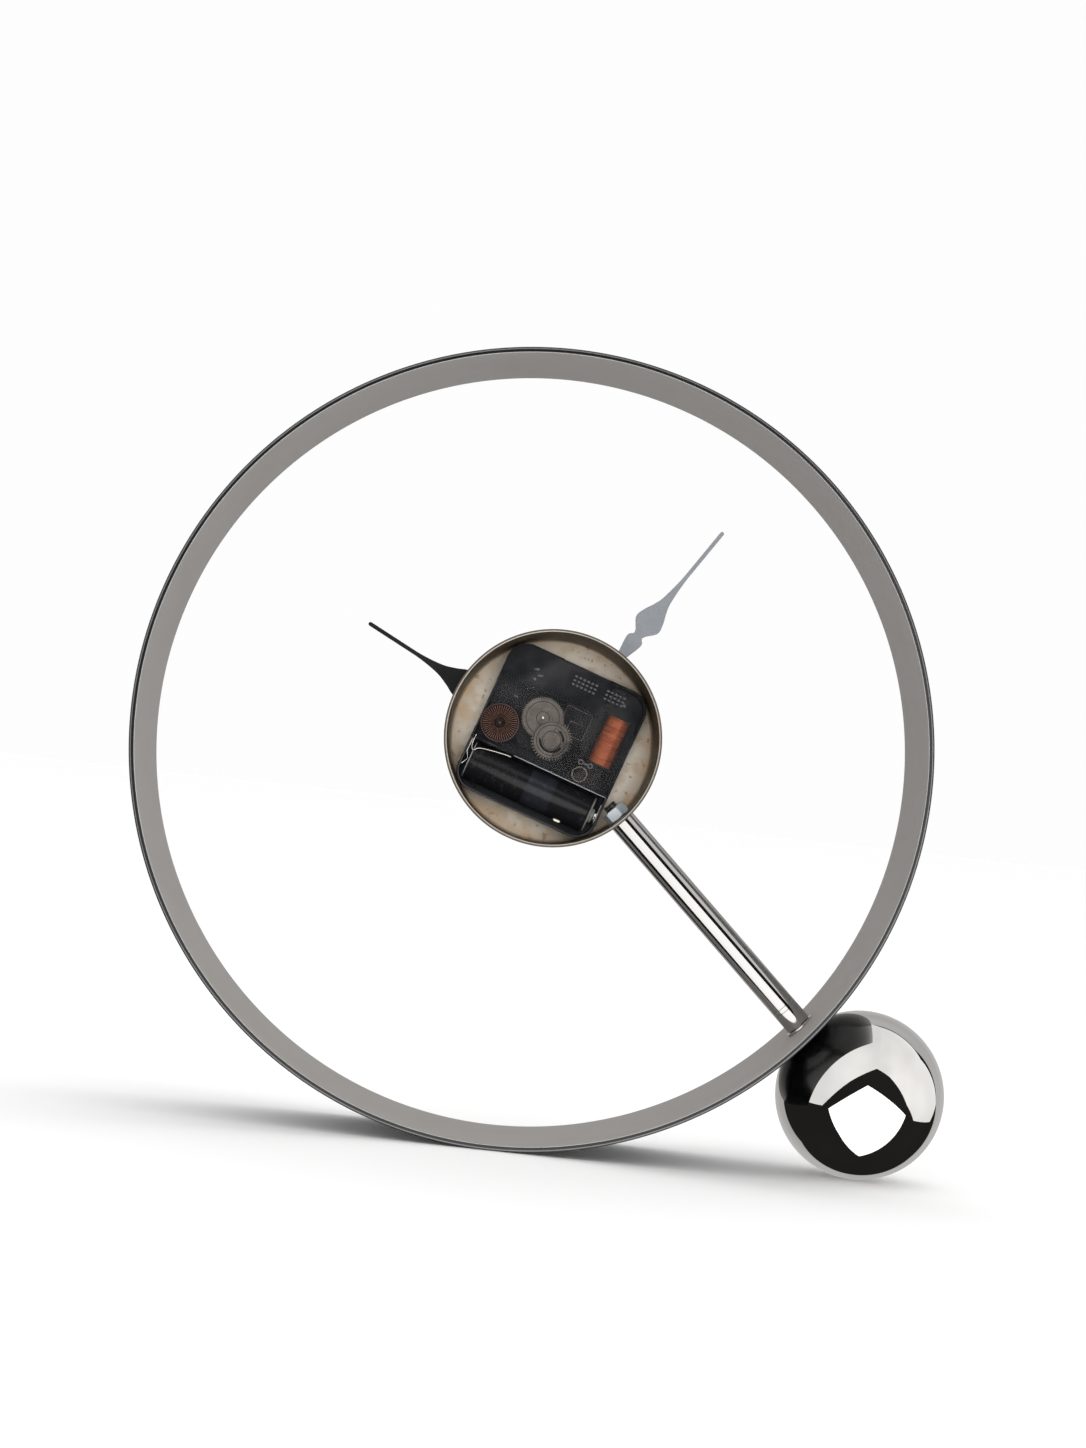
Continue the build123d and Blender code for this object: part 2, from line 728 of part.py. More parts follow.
# ---- hands ----------------------------------------------------------------------------------------
# (distance from the arbor, half width) along each hand: end of the straight stem,
# small shoulder, neck, leaf, and start of the straight needle.
hour_profile = [
    (18, 1.2), (28, 3.1), (30.8, 1.8), (35.5, 5.9), (40, 5.3), (44, 3.5), (49.7, 1.7), (60, 0.75),
]
minute_profile = [
    (38, 1.5), (48, 3.25), (50.8, 1.8), (55.5, 5.1), (59.5, 4.5), (63.5, 2.8), (68, 1.6), (79, 0.75),
]


def make_hand(profile, length, boss, bore, z, clock_angle):
    """Flat hand that points at an angle clockwise from twelve, seen from the front."""
    (stem_end, stem), (needle_start, needle) = profile[0], profile[-1]
    needle_end = length - needle
    tip = ThreePointArc((needle_end, needle), (length, 0), (needle_end, -needle))
    edges = [Line((0, -stem), (0, stem)), tip]
    for side in (1, -1):
        edges.append(Line((0, side * stem), (stem_end, side * stem)))
        leaf = [(reach, side * width) for reach, width in profile]
        edges.append(Spline(*leaf, tangents=[(1, 0), (1, 0)]))
        edges.append(Line((needle_start, side * needle), (needle_end, side * needle)))
    face = make_face(edges) + Circle(boss)
    plate = extrude(face, hand_thickness)
    plate -= Cylinder(bore, 4 * hand_thickness)
    return dial * Pos(0, 0, z - hand_thickness) * Rot(0, 0, 90 + clock_angle) * plate


def make_hands():
    hour_outer = hour_tube_radius + hour_collet_wall
    minute_outer = hand_seat_radius + minute_collet_wall
    save("hour_hand", make_hand(
        hour_profile, hour_hand_length, hour_outer + 1.6, hour_outer, hour_hand_z, hour_hand_angle
    ))
    save("minute_hand", make_hand(
        minute_profile, minute_hand_length, minute_outer + 1.6, minute_outer,
        minute_hand_z, minute_hand_angle,
    ))
    collet = disc(hour_outer, hour_tube_end, hour_collet_top)
    save("hour_collet", dial * (collet - disc(hour_tube_radius, hour_tube_end, hour_collet_top)))
    collet = disc(minute_outer, minute_collet_end, minute_collet_top)
    save("minute_collet", dial * (collet - disc(hand_seat_radius, minute_collet_end, minute_collet_top)))
    cap = disc(cap_radius, minute_collet_end - cap_length, minute_collet_end)
    cap = chamfer(cap.edges().sort_by(Axis.Z)[0], 0.3)
    cap -= disc(hand_seat_radius, minute_collet_end - 0.7 * cap_length, minute_collet_end)
    save("hand_cap", dial * cap)


os.makedirs("parts", exist_ok=True)
save("ring_hoop", make_hoop())
save("hub_cup", make_cup())
save("support_rod", make_rod())
save("rod_washer", make_rod_washer())
save("ball", make_ball())
save("ring_stud", make_stud())
save("hub_nut", make_hub_nut())
save("movement_case", make_case())
save("movement_cover", make_cover())
save("gear_bridge", make_gear_bridge())
save("center_bush", make_bush())
make_panel_hardware()
save("battery_cell", make_battery())
make_contacts()
save("rotor", make_rotor())
save("intermediate_wheel", make_intermediate_wheel())
save("second_wheel", make_second_wheel())
save("third_wheel", make_third_wheel())
save("centre_gear", make_centre_gear())
save("minute_arbor", make_minute_arbor())
save("minute_wheel", make_minute_wheel())
save("hour_wheel", make_hour_wheel())
save("set_wheel", make_set_wheel())
make_coil()
save("stator_plate", make_stator())
make_electronics()
make_hands()
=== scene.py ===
import json
import math

import bmesh
import bpy
from mathutils import Matrix, Vector


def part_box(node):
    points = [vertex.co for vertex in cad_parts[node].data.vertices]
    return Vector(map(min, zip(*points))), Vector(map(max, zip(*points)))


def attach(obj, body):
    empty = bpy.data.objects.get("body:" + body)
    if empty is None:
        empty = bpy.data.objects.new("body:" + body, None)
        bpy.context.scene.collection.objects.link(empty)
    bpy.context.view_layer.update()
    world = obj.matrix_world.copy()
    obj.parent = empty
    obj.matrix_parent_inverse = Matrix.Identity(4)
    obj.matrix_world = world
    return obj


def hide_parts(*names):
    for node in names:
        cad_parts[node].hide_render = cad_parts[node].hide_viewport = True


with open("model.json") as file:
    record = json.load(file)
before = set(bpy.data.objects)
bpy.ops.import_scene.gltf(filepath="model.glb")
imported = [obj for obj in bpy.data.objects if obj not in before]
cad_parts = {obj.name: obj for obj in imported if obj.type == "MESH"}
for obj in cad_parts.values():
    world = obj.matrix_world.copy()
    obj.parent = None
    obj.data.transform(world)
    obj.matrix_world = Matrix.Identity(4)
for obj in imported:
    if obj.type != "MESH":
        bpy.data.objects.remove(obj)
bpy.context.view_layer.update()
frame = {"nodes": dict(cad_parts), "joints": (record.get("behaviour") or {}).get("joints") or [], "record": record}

# Looks of the hoop clock. Metres. The hands face -Y and the camera looks at the open back, along -Y.
MM = 0.001
BACK = Vector((0, 1, 0))
UP = Vector((0, 0, 1))
LEFT = Vector((-1, 0, 0))
ROOT = "clock_frame"
HOOP_WALL = 2.0 * MM
CUP_WALL = 1.0 * MM
CUP_FLOOR = 1.2 * MM
THREAD_BORE = 2.55 * MM
NUT_TURN = math.radians(13.0)

joints = {joint["name"]: joint for joint in frame["joints"]}
hub = Vector(joints["minute_hand_spin"]["pos_m"])
hub.y = 0
hoop_low, hoop_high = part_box("ring_hoop")
ball_low, ball_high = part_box("ball")
cup_low, cup_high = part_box("hub_cup")
hoop_middle = (hoop_low + hoop_high) / 2
ball_middle = (ball_low + ball_high) / 2
rod_direction = Vector((ball_middle.x - hub.x, 0, ball_middle.z - hub.z)).normalized()

# Movement: x to the right and y up as seen from the back, z towards the back from the case's front face.
MOVEMENT_TURN = math.radians(-18.7)
movement_right = Vector((-math.cos(MOVEMENT_TURN), 0, math.sin(MOVEMENT_TURN)))
movement_up = BACK.cross(movement_right)
case_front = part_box("movement_case")[0].y
case_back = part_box("movement_case")[1].y


# ---- places ---------------------------------------------------------------------------------------
def placed(origin, right, up, out):
    """Matrix of a frame with its three directions as columns."""
    place = Matrix((right, up, out)).transposed().to_4x4()
    place.translation = origin
    return place


movement = placed(Vector((hub.x, case_front, hub.z)), movement_right, movement_up, BACK)


def lie_of(node, out, right):
    """Frame on the near end of a round node, with its length and its radius."""
    up = out.cross(right)
    points = [vertex.co for vertex in frame["nodes"][node].data.vertices]
    spans = []
    for direction in (right, up, out):
        reach = [point.dot(direction) for point in points]
        spans.append((min(reach), max(reach)))
    origin = right * sum(spans[0]) / 2 + up * sum(spans[1]) / 2 + out * spans[2][0]
    length = spans[2][1] - spans[2][0]
    return placed(origin, right, up, out), length, (spans[0][1] - spans[0][0]) / 2


# ---- mesh helpers ----------------------------------------------------------------------------------
def rounded(corners, steps=4):
    """Closed outline from (x, y, radius) corners, with an arc in place of each rounded one."""
    outline = []
    for index, (x, y, radius) in enumerate(corners):
        here = Vector((x, y))
        if radius <= 0:
            outline.append((x, y))
            continue
        before = (Vector(corners[index - 1][:2]) - here).normalized()
        after = (Vector(corners[(index + 1) % len(corners)][:2]) - here).normalized()
        half = before.angle(after) / 2
        centre = here + (before + after).normalized() * radius / math.sin(half)
        start = here + before * radius / math.tan(half) - centre
        end = here + after * radius / math.tan(half) - centre
        first = math.atan2(start.y, start.x)
        sweep = (math.atan2(end.y, end.x) - first + math.pi) % (2 * math.pi) - math.pi
        for step in range(steps + 1):
            angle = first + sweep * step / steps
            outline.append((centre.x + radius * math.cos(angle), centre.y + radius * math.sin(angle)))
    return outline


def turned(mesh, outline, place, steps):
    """Turns a closed (radius, height) outline round the frame's third direction."""
    rings = []
    for radius, height in outline:
        count = 1 if radius < 1e-9 else steps
        ring = []
        for step in range(count):
            angle = 2 * math.pi * step / steps
            point = Vector((radius * math.cos(angle), radius * math.sin(angle), height))
            ring.append(mesh.verts.new(place @ point))
        rings.append(ring)
    for near, far in zip(rings, rings[1:] + rings[:1]):
        for step in range(steps):
            corners = [near[step % len(near)], near[(step + 1) % len(near)]]
            corners += [far[(step + 1) % len(far)], far[step % len(far)]]
            corners = list(dict.fromkeys(corners))
            if len(corners) > 2:
                mesh.faces.new(corners)


def prism(mesh, outline, bottom, top, place):
    """Straight prism on an outline of (x, y) points. Returns the edges round its bottom and its top."""
    low = [mesh.verts.new(place @ Vector((x, y, bottom))) for x, y in outline]
    high = [mesh.verts.new(place @ Vector((x, y, top))) for x, y in outline]
    mesh.faces.new(list(reversed(low)))
    mesh.faces.new(high)
    for index in range(len(outline)):
        other = (index + 1) % len(outline)
        mesh.faces.new([low[index], low[other], high[other], high[index]])
    return [[mesh.edges.get((ring[i], ring[i - 1])) for i in range(len(outline))] for ring in (low, high)]


def box_outline(left, right, low, high, corner=0.0):
    points = [(left, low, corner), (right, low, corner), (right, high, corner), (left, high, corner)]
    return rounded(points, 4)


def raised(mesh, outline, bottom, top, place, edge):
    """Prism with its top edge rounded over."""
    rim = prism(mesh, outline, bottom, top, place)[1]
    bmesh.ops.bevel(mesh, geom=rim, offset=edge, segments=2, profile=0.5, affect="EDGES")


def smooth_curve(points, steps=8):
    """Points on a smooth curve through the given ones, level with the first axis at both ends."""
    points = [Vector(point) for point in points]
    slopes = [(after - before) / 2 for before, after in zip(points, points[2:])]
    slopes = [Vector((points[1].x - points[0].x, 0)), *slopes, Vector((points[-1].x - points[-2].x, 0))]
    curve = []
    for index in range(len(points) - 1):
        start, end = points[index], points[index + 1]
        for step in range(steps):
            t = step / steps
            place = start * (2 * t**3 - 3 * t**2 + 1) + end * (3 * t**2 - 2 * t**3)
            curve.append(place + slopes[index] * (t**3 - 2 * t**2 + t) + slopes[index + 1] * (t**3 - t**2))
    return curve + [points[-1]]


def tube(mesh, route, radius, sides=12):
    """Round wire along a route of points, closed at both ends."""
    rings = []
    for index, point in enumerate(route):
        ahead = (route[min(index + 1, len(route) - 1)] - route[max(index - 1, 0)]).normalized()
        side = ahead.cross(BACK).normalized()
        lift = side.cross(ahead)
        ring = []
        for step in range(sides):
            angle = 2 * math.pi * step / sides
            ring.append(mesh.verts.new(point + (side * math.cos(angle) + lift * math.sin(angle)) * radius))
        rings.append(ring)
    for near, far in zip(rings, rings[1:]):
        for step in range(sides):
            after = (step + 1) % sides
            mesh.faces.new([near[step], near[after], far[after], far[step]])
    mesh.faces.new(list(reversed(rings[0])))
    mesh.faces.new(rings[-1])


def finished(name, mesh, material, body, replaces=None, sharp=35):
    """Makes an object of a mesh, smooth except over sharp edges, that rides on a CAD body."""
    bmesh.ops.recalc_face_normals(mesh, faces=mesh.faces)
    for face in mesh.faces:
        face.smooth = True
    for edge in mesh.edges:
        edge.smooth = len(edge.link_faces) == 2 and edge.calc_face_angle(0) < math.radians(sharp)
    data = bpy.data.meshes.new(name)
    mesh.to_mesh(data)
    mesh.free()
    data.materials.append(material)
    piece = bpy.data.objects.new(name, data)
    bpy.context.scene.collection.objects.link(piece)
    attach(piece, body)
    if replaces:
        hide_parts(replaces)
    return piece


def softened(node, material, body, edge):
    """Copy of a CAD node with its sharp edges rounded over."""
    mesh = bmesh.new()
    mesh.from_mesh(frame["nodes"][node].data)
    bmesh.ops.remove_doubles(mesh, verts=mesh.verts, dist=1e-6)
    bmesh.ops.recalc_face_normals(mesh, faces=mesh.faces)
    crisp = [e for e in mesh.edges if len(e.link_faces) == 2 and e.calc_face_angle(0) > math.radians(35)]
    bmesh.ops.bevel(mesh, geom=crisp, offset=edge, segments=2, profile=0.5, affect="EDGES")
    return finished(node + "_look", mesh, material, body, node, 40)


# ---- material helpers ----------------------------------------------------------------------------
class Look:
    """A node material built round one Principled shader."""

    def __init__(self, name, **values):
        self.material = bpy.data.materials.new(name)
        self.material.use_nodes = True
        self.nodes = self.material.node_tree.nodes
        self.links = self.material.node_tree.links
        self.shader = self.nodes["Principled BSDF"]
        self.place = self.nodes.new("ShaderNodeTexCoord").outputs["Object"]
        for key, value in values.items():
            self.shader.inputs[key.replace("_", " ")].default_value = value

    def math(self, operation, first, second=0.0):
        node = self.nodes.new("ShaderNodeMath")
        node.operation = operation
        for socket, value in zip(node.inputs, (first, second)):
            self.feed(socket, value)
        return node.outputs[0]

    def feed(self, socket, value):
        if isinstance(value, (int, float, tuple)):
            socket.default_value = value
        else:
            self.links.new(value, socket)

    def noise(self, size, detail=3.0, stretch=(1, 1, 1), vector=None):
        """Noise with blotches of the given size in metres."""
        scale = self.nodes.new("ShaderNodeVectorMath")
        scale.operation = "MULTIPLY"
        self.links.new(vector or self.place, scale.inputs[0])
        scale.inputs[1].default_value = [factor / size for factor in stretch]
        node = self.nodes.new("ShaderNodeTexNoise")
        node.inputs["Scale"].default_value = 1.0
        node.inputs["Detail"].default_value = detail
        node.inputs["Roughness"].default_value = 0.55
        self.links.new(scale.outputs[0], node.inputs["Vector"])
        return node.outputs["Fac"]

    def spread(self, value, low, high, new_low=0.0, new_high=1.0):
        node = self.nodes.new("ShaderNodeMapRange")
        self.links.new(value, node.inputs["Value"])
        node.inputs["From Min"].default_value = low
        node.inputs["From Max"].default_value = high
        node.inputs["To Min"].default_value = new_low
        node.inputs["To Max"].default_value = new_high
        return node.outputs["Result"]

    def ramp(self, value, stops):
        node = self.nodes.new("ShaderNodeValToRGB")
        self.links.new(value, node.inputs["Fac"])
        bands = node.color_ramp.elements
        while len(bands) < len(stops):
            bands.new(0.5)
        for band, (place, _) in zip(bands, stops):
            band.position = place
        for band, (_, color) in zip(bands, stops):
            band.color = (*color, 1)
        return node.outputs["Color"]

    def mix(self, factor, first, second):
        node = self.nodes.new("ShaderNodeMix")
        node.data_type = "RGBA"
        self.feed(node.inputs["Factor"], factor)
        for socket, value in ((node.inputs[6], first), (node.inputs[7], second)):
            self.feed(socket, (*value, 1) if isinstance(value, tuple) and len(value) == 3 else value)
        return node.outputs[2]

    def local(self, origin, right, up, out):
        """Coordinates in a frame of the clock, in metres."""
        back = placed(origin, right, up, out).inverted()
        node = self.nodes.new("ShaderNodeMapping")
        node.inputs["Rotation"].default_value = back.to_3x3().to_euler()
        node.inputs["Location"].default_value = back.translation
        self.links.new(self.place, node.inputs["Vector"])
        return node.outputs["Vector"]

    def split(self, vector):
        node = self.nodes.new("ShaderNodeSeparateXYZ")
        self.links.new(vector, node.inputs[0])
        return node.outputs

    def from_axis(self, centre):
        """Distance from the line through a centre that runs from front to back."""
        shift = self.nodes.new("ShaderNodeVectorMath")
        shift.operation = "SUBTRACT"
        self.links.new(self.place, shift.inputs[0])
        shift.inputs[1].default_value = centre
        flat = self.nodes.new("ShaderNodeVectorMath")
        flat.operation = "MULTIPLY"
        self.links.new(shift.outputs[0], flat.inputs[0])
        flat.inputs[1].default_value = (1, 0, 1)
        size = self.nodes.new("ShaderNodeVectorMath")
        size.operation = "LENGTH"
        self.links.new(flat.outputs[0], size.inputs[0])
        return size.outputs["Value"]

    def color(self, value):
        self.links.new(value, self.shader.inputs["Base Color"])
        return self

    def rough(self, value):
        self.links.new(value, self.shader.inputs["Roughness"])
        return self

    def bump(self, height, depth, strength=1.0):
        node = self.nodes.new("ShaderNodeBump")
        node.inputs["Strength"].default_value = strength
        node.inputs["Distance"].default_value = depth
        self.links.new(height, node.inputs["Height"])
        self.links.new(node.outputs["Normal"], self.shader.inputs["Normal"])
        return self


def tone(level):
    """Linear value of a grey level from 0 to 255."""
    share = level / 255
    return share / 12.92 if share <= 0.04045 else ((share + 0.055) / 1.055) ** 2.4


def hue(red, green, blue):
    return (tone(red), tone(green), tone(blue))


def mottled(name, dark, light, size, rough, rough_range=0.06, bump=0.0, **values):
    """Plain finish with blotches between two colours, fine bump and uneven gloss."""
    look = Look(name, **values)
    blotch = look.noise(size, 4)
    look.color(look.mix(look.spread(blotch, 0.3, 0.7), dark, light))
    fine = look.noise(size / 8, 3)
    look.rough(look.spread(fine, 0.2, 0.8, rough - rough_range, rough + rough_range))
    if bump:
        look.bump(fine, bump)
    return look.material


# ---- materials -------------------------------------------------------------------------------------
def hoop_look():
    """Satin inside, dark polished lip and outside, told apart by the distance from the hoop's axis; the lip
    carries a painted highlight line and a painted grey reflection band.
    """
    look = Look("hoop_satin_steel", Metallic=0.3)
    outer = (hoop_high.z - hoop_low.z) / 2
    reach = look.from_axis(hoop_middle)
    share = look.spread(reach, outer - HOOP_WALL, outer)
    # Lip bands: a pale painted highlight line next to the satin inside, then black with a painted grey reflection
    # band across it.
    bands = look.ramp(share, [
        (0.0, hue(142, 139, 136)), (0.03, hue(186, 184, 181)), (0.10, hue(90, 90, 90)),
        (0.16, hue(10, 10, 11)), (0.54, hue(12, 12, 13)), (0.62, hue(90, 91, 93)),
        (0.74, hue(82, 83, 85)), (0.82, hue(14, 14, 15)), (1.0, hue(16, 16, 17)),
    ])
    blotch = look.noise(22 * MM, 5, (1, 0.6, 1))
    streak = look.noise(2.5 * MM, 3, (0.15, 3, 0.15))
    stained = look.mix(look.spread(blotch, 0.45, 0.8, 0.0, 0.22), bands, hue(128, 116, 106))
    brushed = look.mix(look.spread(streak, 0.3, 0.7, 0.0, 0.12), stained, hue(168, 167, 166))
    inside = look.spread(share, 0.0, 0.03, 1.0, 0.0)
    look.color(look.mix(inside, bands, brushed))
    look.rough(look.spread(share, 0.02, 0.2, 0.62, 0.24))
    return look.bump(streak, 0.02 * MM, 0.3).material


def cup_look():
    """Bare spun steel: plain face, pale floor inside with stain spots and painted shade darkening it towards the
    wall, bronze wall, and a painted highlight line on the rim.
    """
    look = Look("cup_spun_steel", Metallic=0.3)
    radius = (cup_high.x - cup_low.x) / 2
    reach = look.from_axis(hub)
    depth = look.split(look.place)[1]
    share = look.spread(reach, 0.0, radius)
    # The floor's darker, browner outer stop is painted shade in its corner with the wall.
    floor = look.ramp(share, [
        (0.0, hue(172, 165, 154)), (0.75, hue(182, 175, 163)), (0.97, hue(140, 127, 109)),
    ])
    blotch = look.noise(7 * MM, 6)
    spots = look.noise(2.6 * MM, 5)
    # Painted shade laid on in blotches: browner towards the wall.
    near_edge = look.spread(share, 0.55, 0.95, 0.05, 0.9)
    tan = look.math("MULTIPLY", look.spread(blotch, 0.47, 0.62), near_edge)
    floor = look.mix(tan, floor, hue(146, 124, 98))
    floor = look.mix(look.spread(spots, 0.60, 0.66, 0.0, 0.75), floor, hue(104, 84, 64))
    streak = look.noise(9 * MM, 5, (1, 0.35, 1))
    wall = look.mix(look.spread(streak, 0.35, 0.7), hue(62, 53, 41), hue(92, 80, 64))
    up_wall = look.spread(depth, cup_low.y + 1.5 * MM, cup_low.y + 3.5 * MM)
    face = look.mix(look.spread(blotch, 0.35, 0.65), hue(150, 144, 135), hue(164, 158, 149))
    inside = look.spread(depth, cup_low.y + 0.2 * MM, cup_low.y + 0.6 * MM)
    made = look.mix(up_wall, look.mix(inside, face, floor), wall)
    # Rim: a painted highlight line along its inner edge, darker towards its outer edge.
    rim = look.spread(depth, cup_high.y - 0.5 * MM, cup_high.y - 0.1 * MM)
    lip = look.ramp(look.spread(reach, radius - CUP_WALL, radius), [
        (0.0, hue(150, 145, 137)), (0.22, hue(170, 164, 156)),
        (0.38, hue(80, 73, 63)), (1.0, hue(52, 47, 40)),
    ])
    look.color(look.mix(rim, made, lip))
    rings = look.noise(0.8 * MM, 2)
    look.rough(look.spread(rings, 0.2, 0.8, 0.32, 0.5))
    return look.bump(rings, 0.012 * MM, 0.4).material


def chrome_look(name, level, rough):
    """Polished metal of a given reflectance, a little hazy in places."""
    look = Look(name, Metallic=1.0)
    haze = look.noise(18 * MM, 4)
    plain = (level, level, level)
    warm = (level * 1.04, level * 1.035, level * 1.02)
    look.color(look.mix(look.spread(haze, 0.3, 0.7), plain, warm))
    look.rough(look.spread(haze, 0.3, 0.75, rough, rough * 2.2))
    return look.bump(look.noise(0.7 * MM, 2), 0.002 * MM, 0.15).material


def cover_look():
    """Smoked clear moulding: lets the train and the coil show, nearly black elsewhere."""
    look = Look("cover_smoked_plastic", IOR=1.25)
    haze = look.noise(6 * MM, 4)
    look.color(look.mix(look.spread(haze, 0.3, 0.7), hue(22, 23, 25), hue(33, 34, 36)))
    spot = look.split(look.local(movement.translation, movement_right, movement_up, BACK))
    over_board = look.spread(spot[1], 13.5 * MM, 16.5 * MM)
    left_of_coil = look.spread(spot[0], 13.5 * MM, 11.5 * MM)
    solid = look.spread(look.math("MULTIPLY", over_board, left_of_coil), 0.0, 1.0, 0.28, 0.95)
    look.links.new(solid, look.shader.inputs["Alpha"])
    look.rough(look.spread(haze, 0.2, 0.8, 0.07, 0.16))
    return look.bump(look.noise(4 * MM, 2), 0.004 * MM, 0.15).material


def case_look():
    """Dark opaque moulding."""
    look = Look("case_dark_moulding", IOR=1.3)
    haze = look.noise(9 * MM, 4)
    look.color(look.mix(look.spread(haze, 0.3, 0.7), hue(30, 31, 33), hue(44, 45, 47)))
    look.rough(look.spread(haze, 0.2, 0.8, 0.24, 0.36))
    return look.bump(look.noise(3 * MM, 2), 0.004 * MM, 0.15).material


def coil_look():
    """Enamelled copper wire, streaked along its turns."""
    look = Look("coil_enamelled_wire", Metallic=0.45)
    across = look.local(movement.translation, movement_right, movement_up, BACK)
    bundle = look.noise(1.6 * MM, 4, (0.3, 1.6, 0.3), vector=across)
    look.color(look.mix(look.spread(bundle, 0.3, 0.72), hue(176, 78, 40), hue(238, 138, 88)))
    look.rough(look.spread(bundle, 0.2, 0.8, 0.28, 0.42))
    return look.bump(look.noise(0.25 * MM, 2, (0.2, 3, 0.2), vector=across), 0.02 * MM, 0.4).material


def battery_look():
    """Dark sleeve with plain lighter blocks in place of its printing, and bare metal at both ends."""
    look = Look("battery_sleeve", IOR=1.3)
    place, length, _ = battery_lie
    spot = look.split(look.local(place.translation, place.col[0].xyz, place.col[1].xyz, place.col[2].xyz))
    along = look.spread(spot[2], 0.0, length)
    bands = look.ramp(along, [
        (0.0, hue(150, 150, 150)), (0.012, hue(16, 16, 18)), (0.46, hue(16, 16, 18)), (0.47, hue(27, 28, 33)),
        (0.66, hue(27, 28, 33)), (0.67, hue(18, 18, 20)),
        (0.958, hue(18, 18, 20)), (0.97, hue(112, 110, 107)),
    ])
    wear = look.noise(2.2 * MM, 4)
    look.color(look.mix(look.spread(wear, 0.55, 0.8, 0.0, 0.25), bands, hue(70, 70, 74)))
    look.rough(look.spread(wear, 0.2, 0.8, 0.18, 0.26))
    return look.bump(look.noise(3 * MM, 2), 0.004 * MM, 0.15).material


def hand_look(name, dark, light, rough):
    """Satin finish of the hands; its colour also carries painted reflection, grey on the minute hand and
    near-black on the hour hand.
    """
    look = Look(name, IOR=1.2)
    grain = look.noise(4 * MM, 3, (0.5, 1, 0.5))
    look.color(look.mix(look.spread(grain, 0.3, 0.7), dark, light))
    look.rough(look.spread(grain, 0.2, 0.8, rough, rough + 0.1))
    return look.bump(grain, 0.002 * MM, 0.1).material


slot_of = {part["node"]: part["material_slot"] for part in frame["record"]["subparts"]}
body_of = {node: body for body, nodes in frame["record"]["behaviour"]["bodies"].items() for node in nodes}
battery_lie = lie_of("battery_cell", movement_right, movement_up)

looks = {
    "hoop_metal": hoop_look(),
    "cup_metal": cup_look(),
    "rod_chrome": chrome_look("rod_polished_chrome", 0.4, 0.04),
    "ball_chrome": chrome_look("ball_polished_chrome", 0.64, 0.012),
    "zinc_steel": mottled(
        "zinc_plate", hue(158, 166, 171), hue(184, 190, 194), 3 * MM, 0.34, bump=0.006 * MM, Metallic=0.45
    ),
    "case_plastic": case_look(),
    "cover_plastic": cover_look(),
    "brass": mottled(
        "turned_brass", hue(172, 138, 78), hue(205, 172, 108), 2 * MM, 0.3, bump=0.004 * MM, Metallic=0.9
    ),
    "rubber": mottled("soft_rubber", hue(24, 24, 25), hue(38, 38, 38), 2 * MM, 0.7, bump=0.02 * MM),
    "contact_metal": mottled(
        "nickel_strip", hue(196, 194, 190), hue(222, 220, 216), 3 * MM, 0.2, Metallic=1.0
    ),
    "soft_iron": mottled(
        "stamped_iron", hue(88, 86, 84), hue(120, 117, 114), 2.5 * MM, 0.42, bump=0.01 * MM, Metallic=0.8
    ),
    "copper_wire": coil_look(),
    "wheel_plastic": mottled(
        "wheel_moulding", hue(138, 129, 122), hue(168, 159, 150), 3 * MM, 0.5, IOR=1.2
    ),
    "set_wheel_plastic": mottled(
        "knob_moulding", hue(50, 28, 27), hue(74, 44, 40), 2 * MM, 0.3, bump=0.01 * MM
    ),
    "board": mottled("board_lacquer", hue(28, 62, 42), hue(44, 82, 56), 3 * MM, 0.35, bump=0.01 * MM),
    "chip": mottled("chip_resin", hue(16, 16, 17), hue(28, 28, 28), 1 * MM, 0.5, bump=0.01 * MM),
    "crystal_can": mottled(
        "drawn_can", hue(176, 176, 176), hue(206, 206, 204), 1.5 * MM, 0.22, Metallic=1.0
    ),
    "battery_label": battery_look(),
    # Painted reflection: the minute hand's grey stands in for light it reflects, the hour hand's near-black for
    # the dark it reflects.
    "minute_hand_metal": hand_look("minute_hand_satin_painted_light_reflection", hue(108, 111, 115), hue(115, 118, 122), 0.5),
    "hour_hand_metal": hand_look("hour_hand_painted_dark_reflection", hue(19, 19, 20), hue(24, 24, 25), 0.4),
    "magnet": mottled(
        "sintered_magnet", hue(84, 78, 74), hue(112, 106, 100), 1 * MM, 0.55, bump=0.02 * MM, Metallic=0.3
    ),
}
clear_look = mottled(
    "clear_smoked_plate", hue(40, 40, 41), hue(58, 57, 57), 3 * MM, 0.3, 0.03, Alpha=0.14, IOR=1.2
)
# Lighter grey-beige on the raised rims and outline of the cover: partly painted highlight, as glints on raised
# edges.
rim_look = mottled("pivot_rim", hue(78, 70, 66), hue(104, 92, 86), 1.2 * MM, 0.3, Alpha=0.6)
# Painted highlight: a pale strip standing in for a glint along the cover's lower edge.
lower_edge_highlight_look = mottled("cover_edge_painted_highlight", hue(104, 106, 110), hue(140, 142, 146), 1.5 * MM, 0.2)
ring_look = mottled("wheel_ring", hue(70, 64, 60), hue(92, 84, 78), 1 * MM, 0.4)
inner_look = mottled(
    "dark_inner_metal", hue(34, 34, 35), hue(52, 51, 50), 2 * MM, 0.4, bump=0.01 * MM, Metallic=0.4
)
# A little lighter than the cover: painted highlight on the raised marks and the yoke.
dark_mark_look = mottled("relief_on_cover", hue(30, 30, 32), hue(54, 54, 57), 1 * MM, 0.2)
cream_look = mottled("cream_window", hue(206, 200, 178), hue(228, 222, 202), 1 * MM, 0.35)


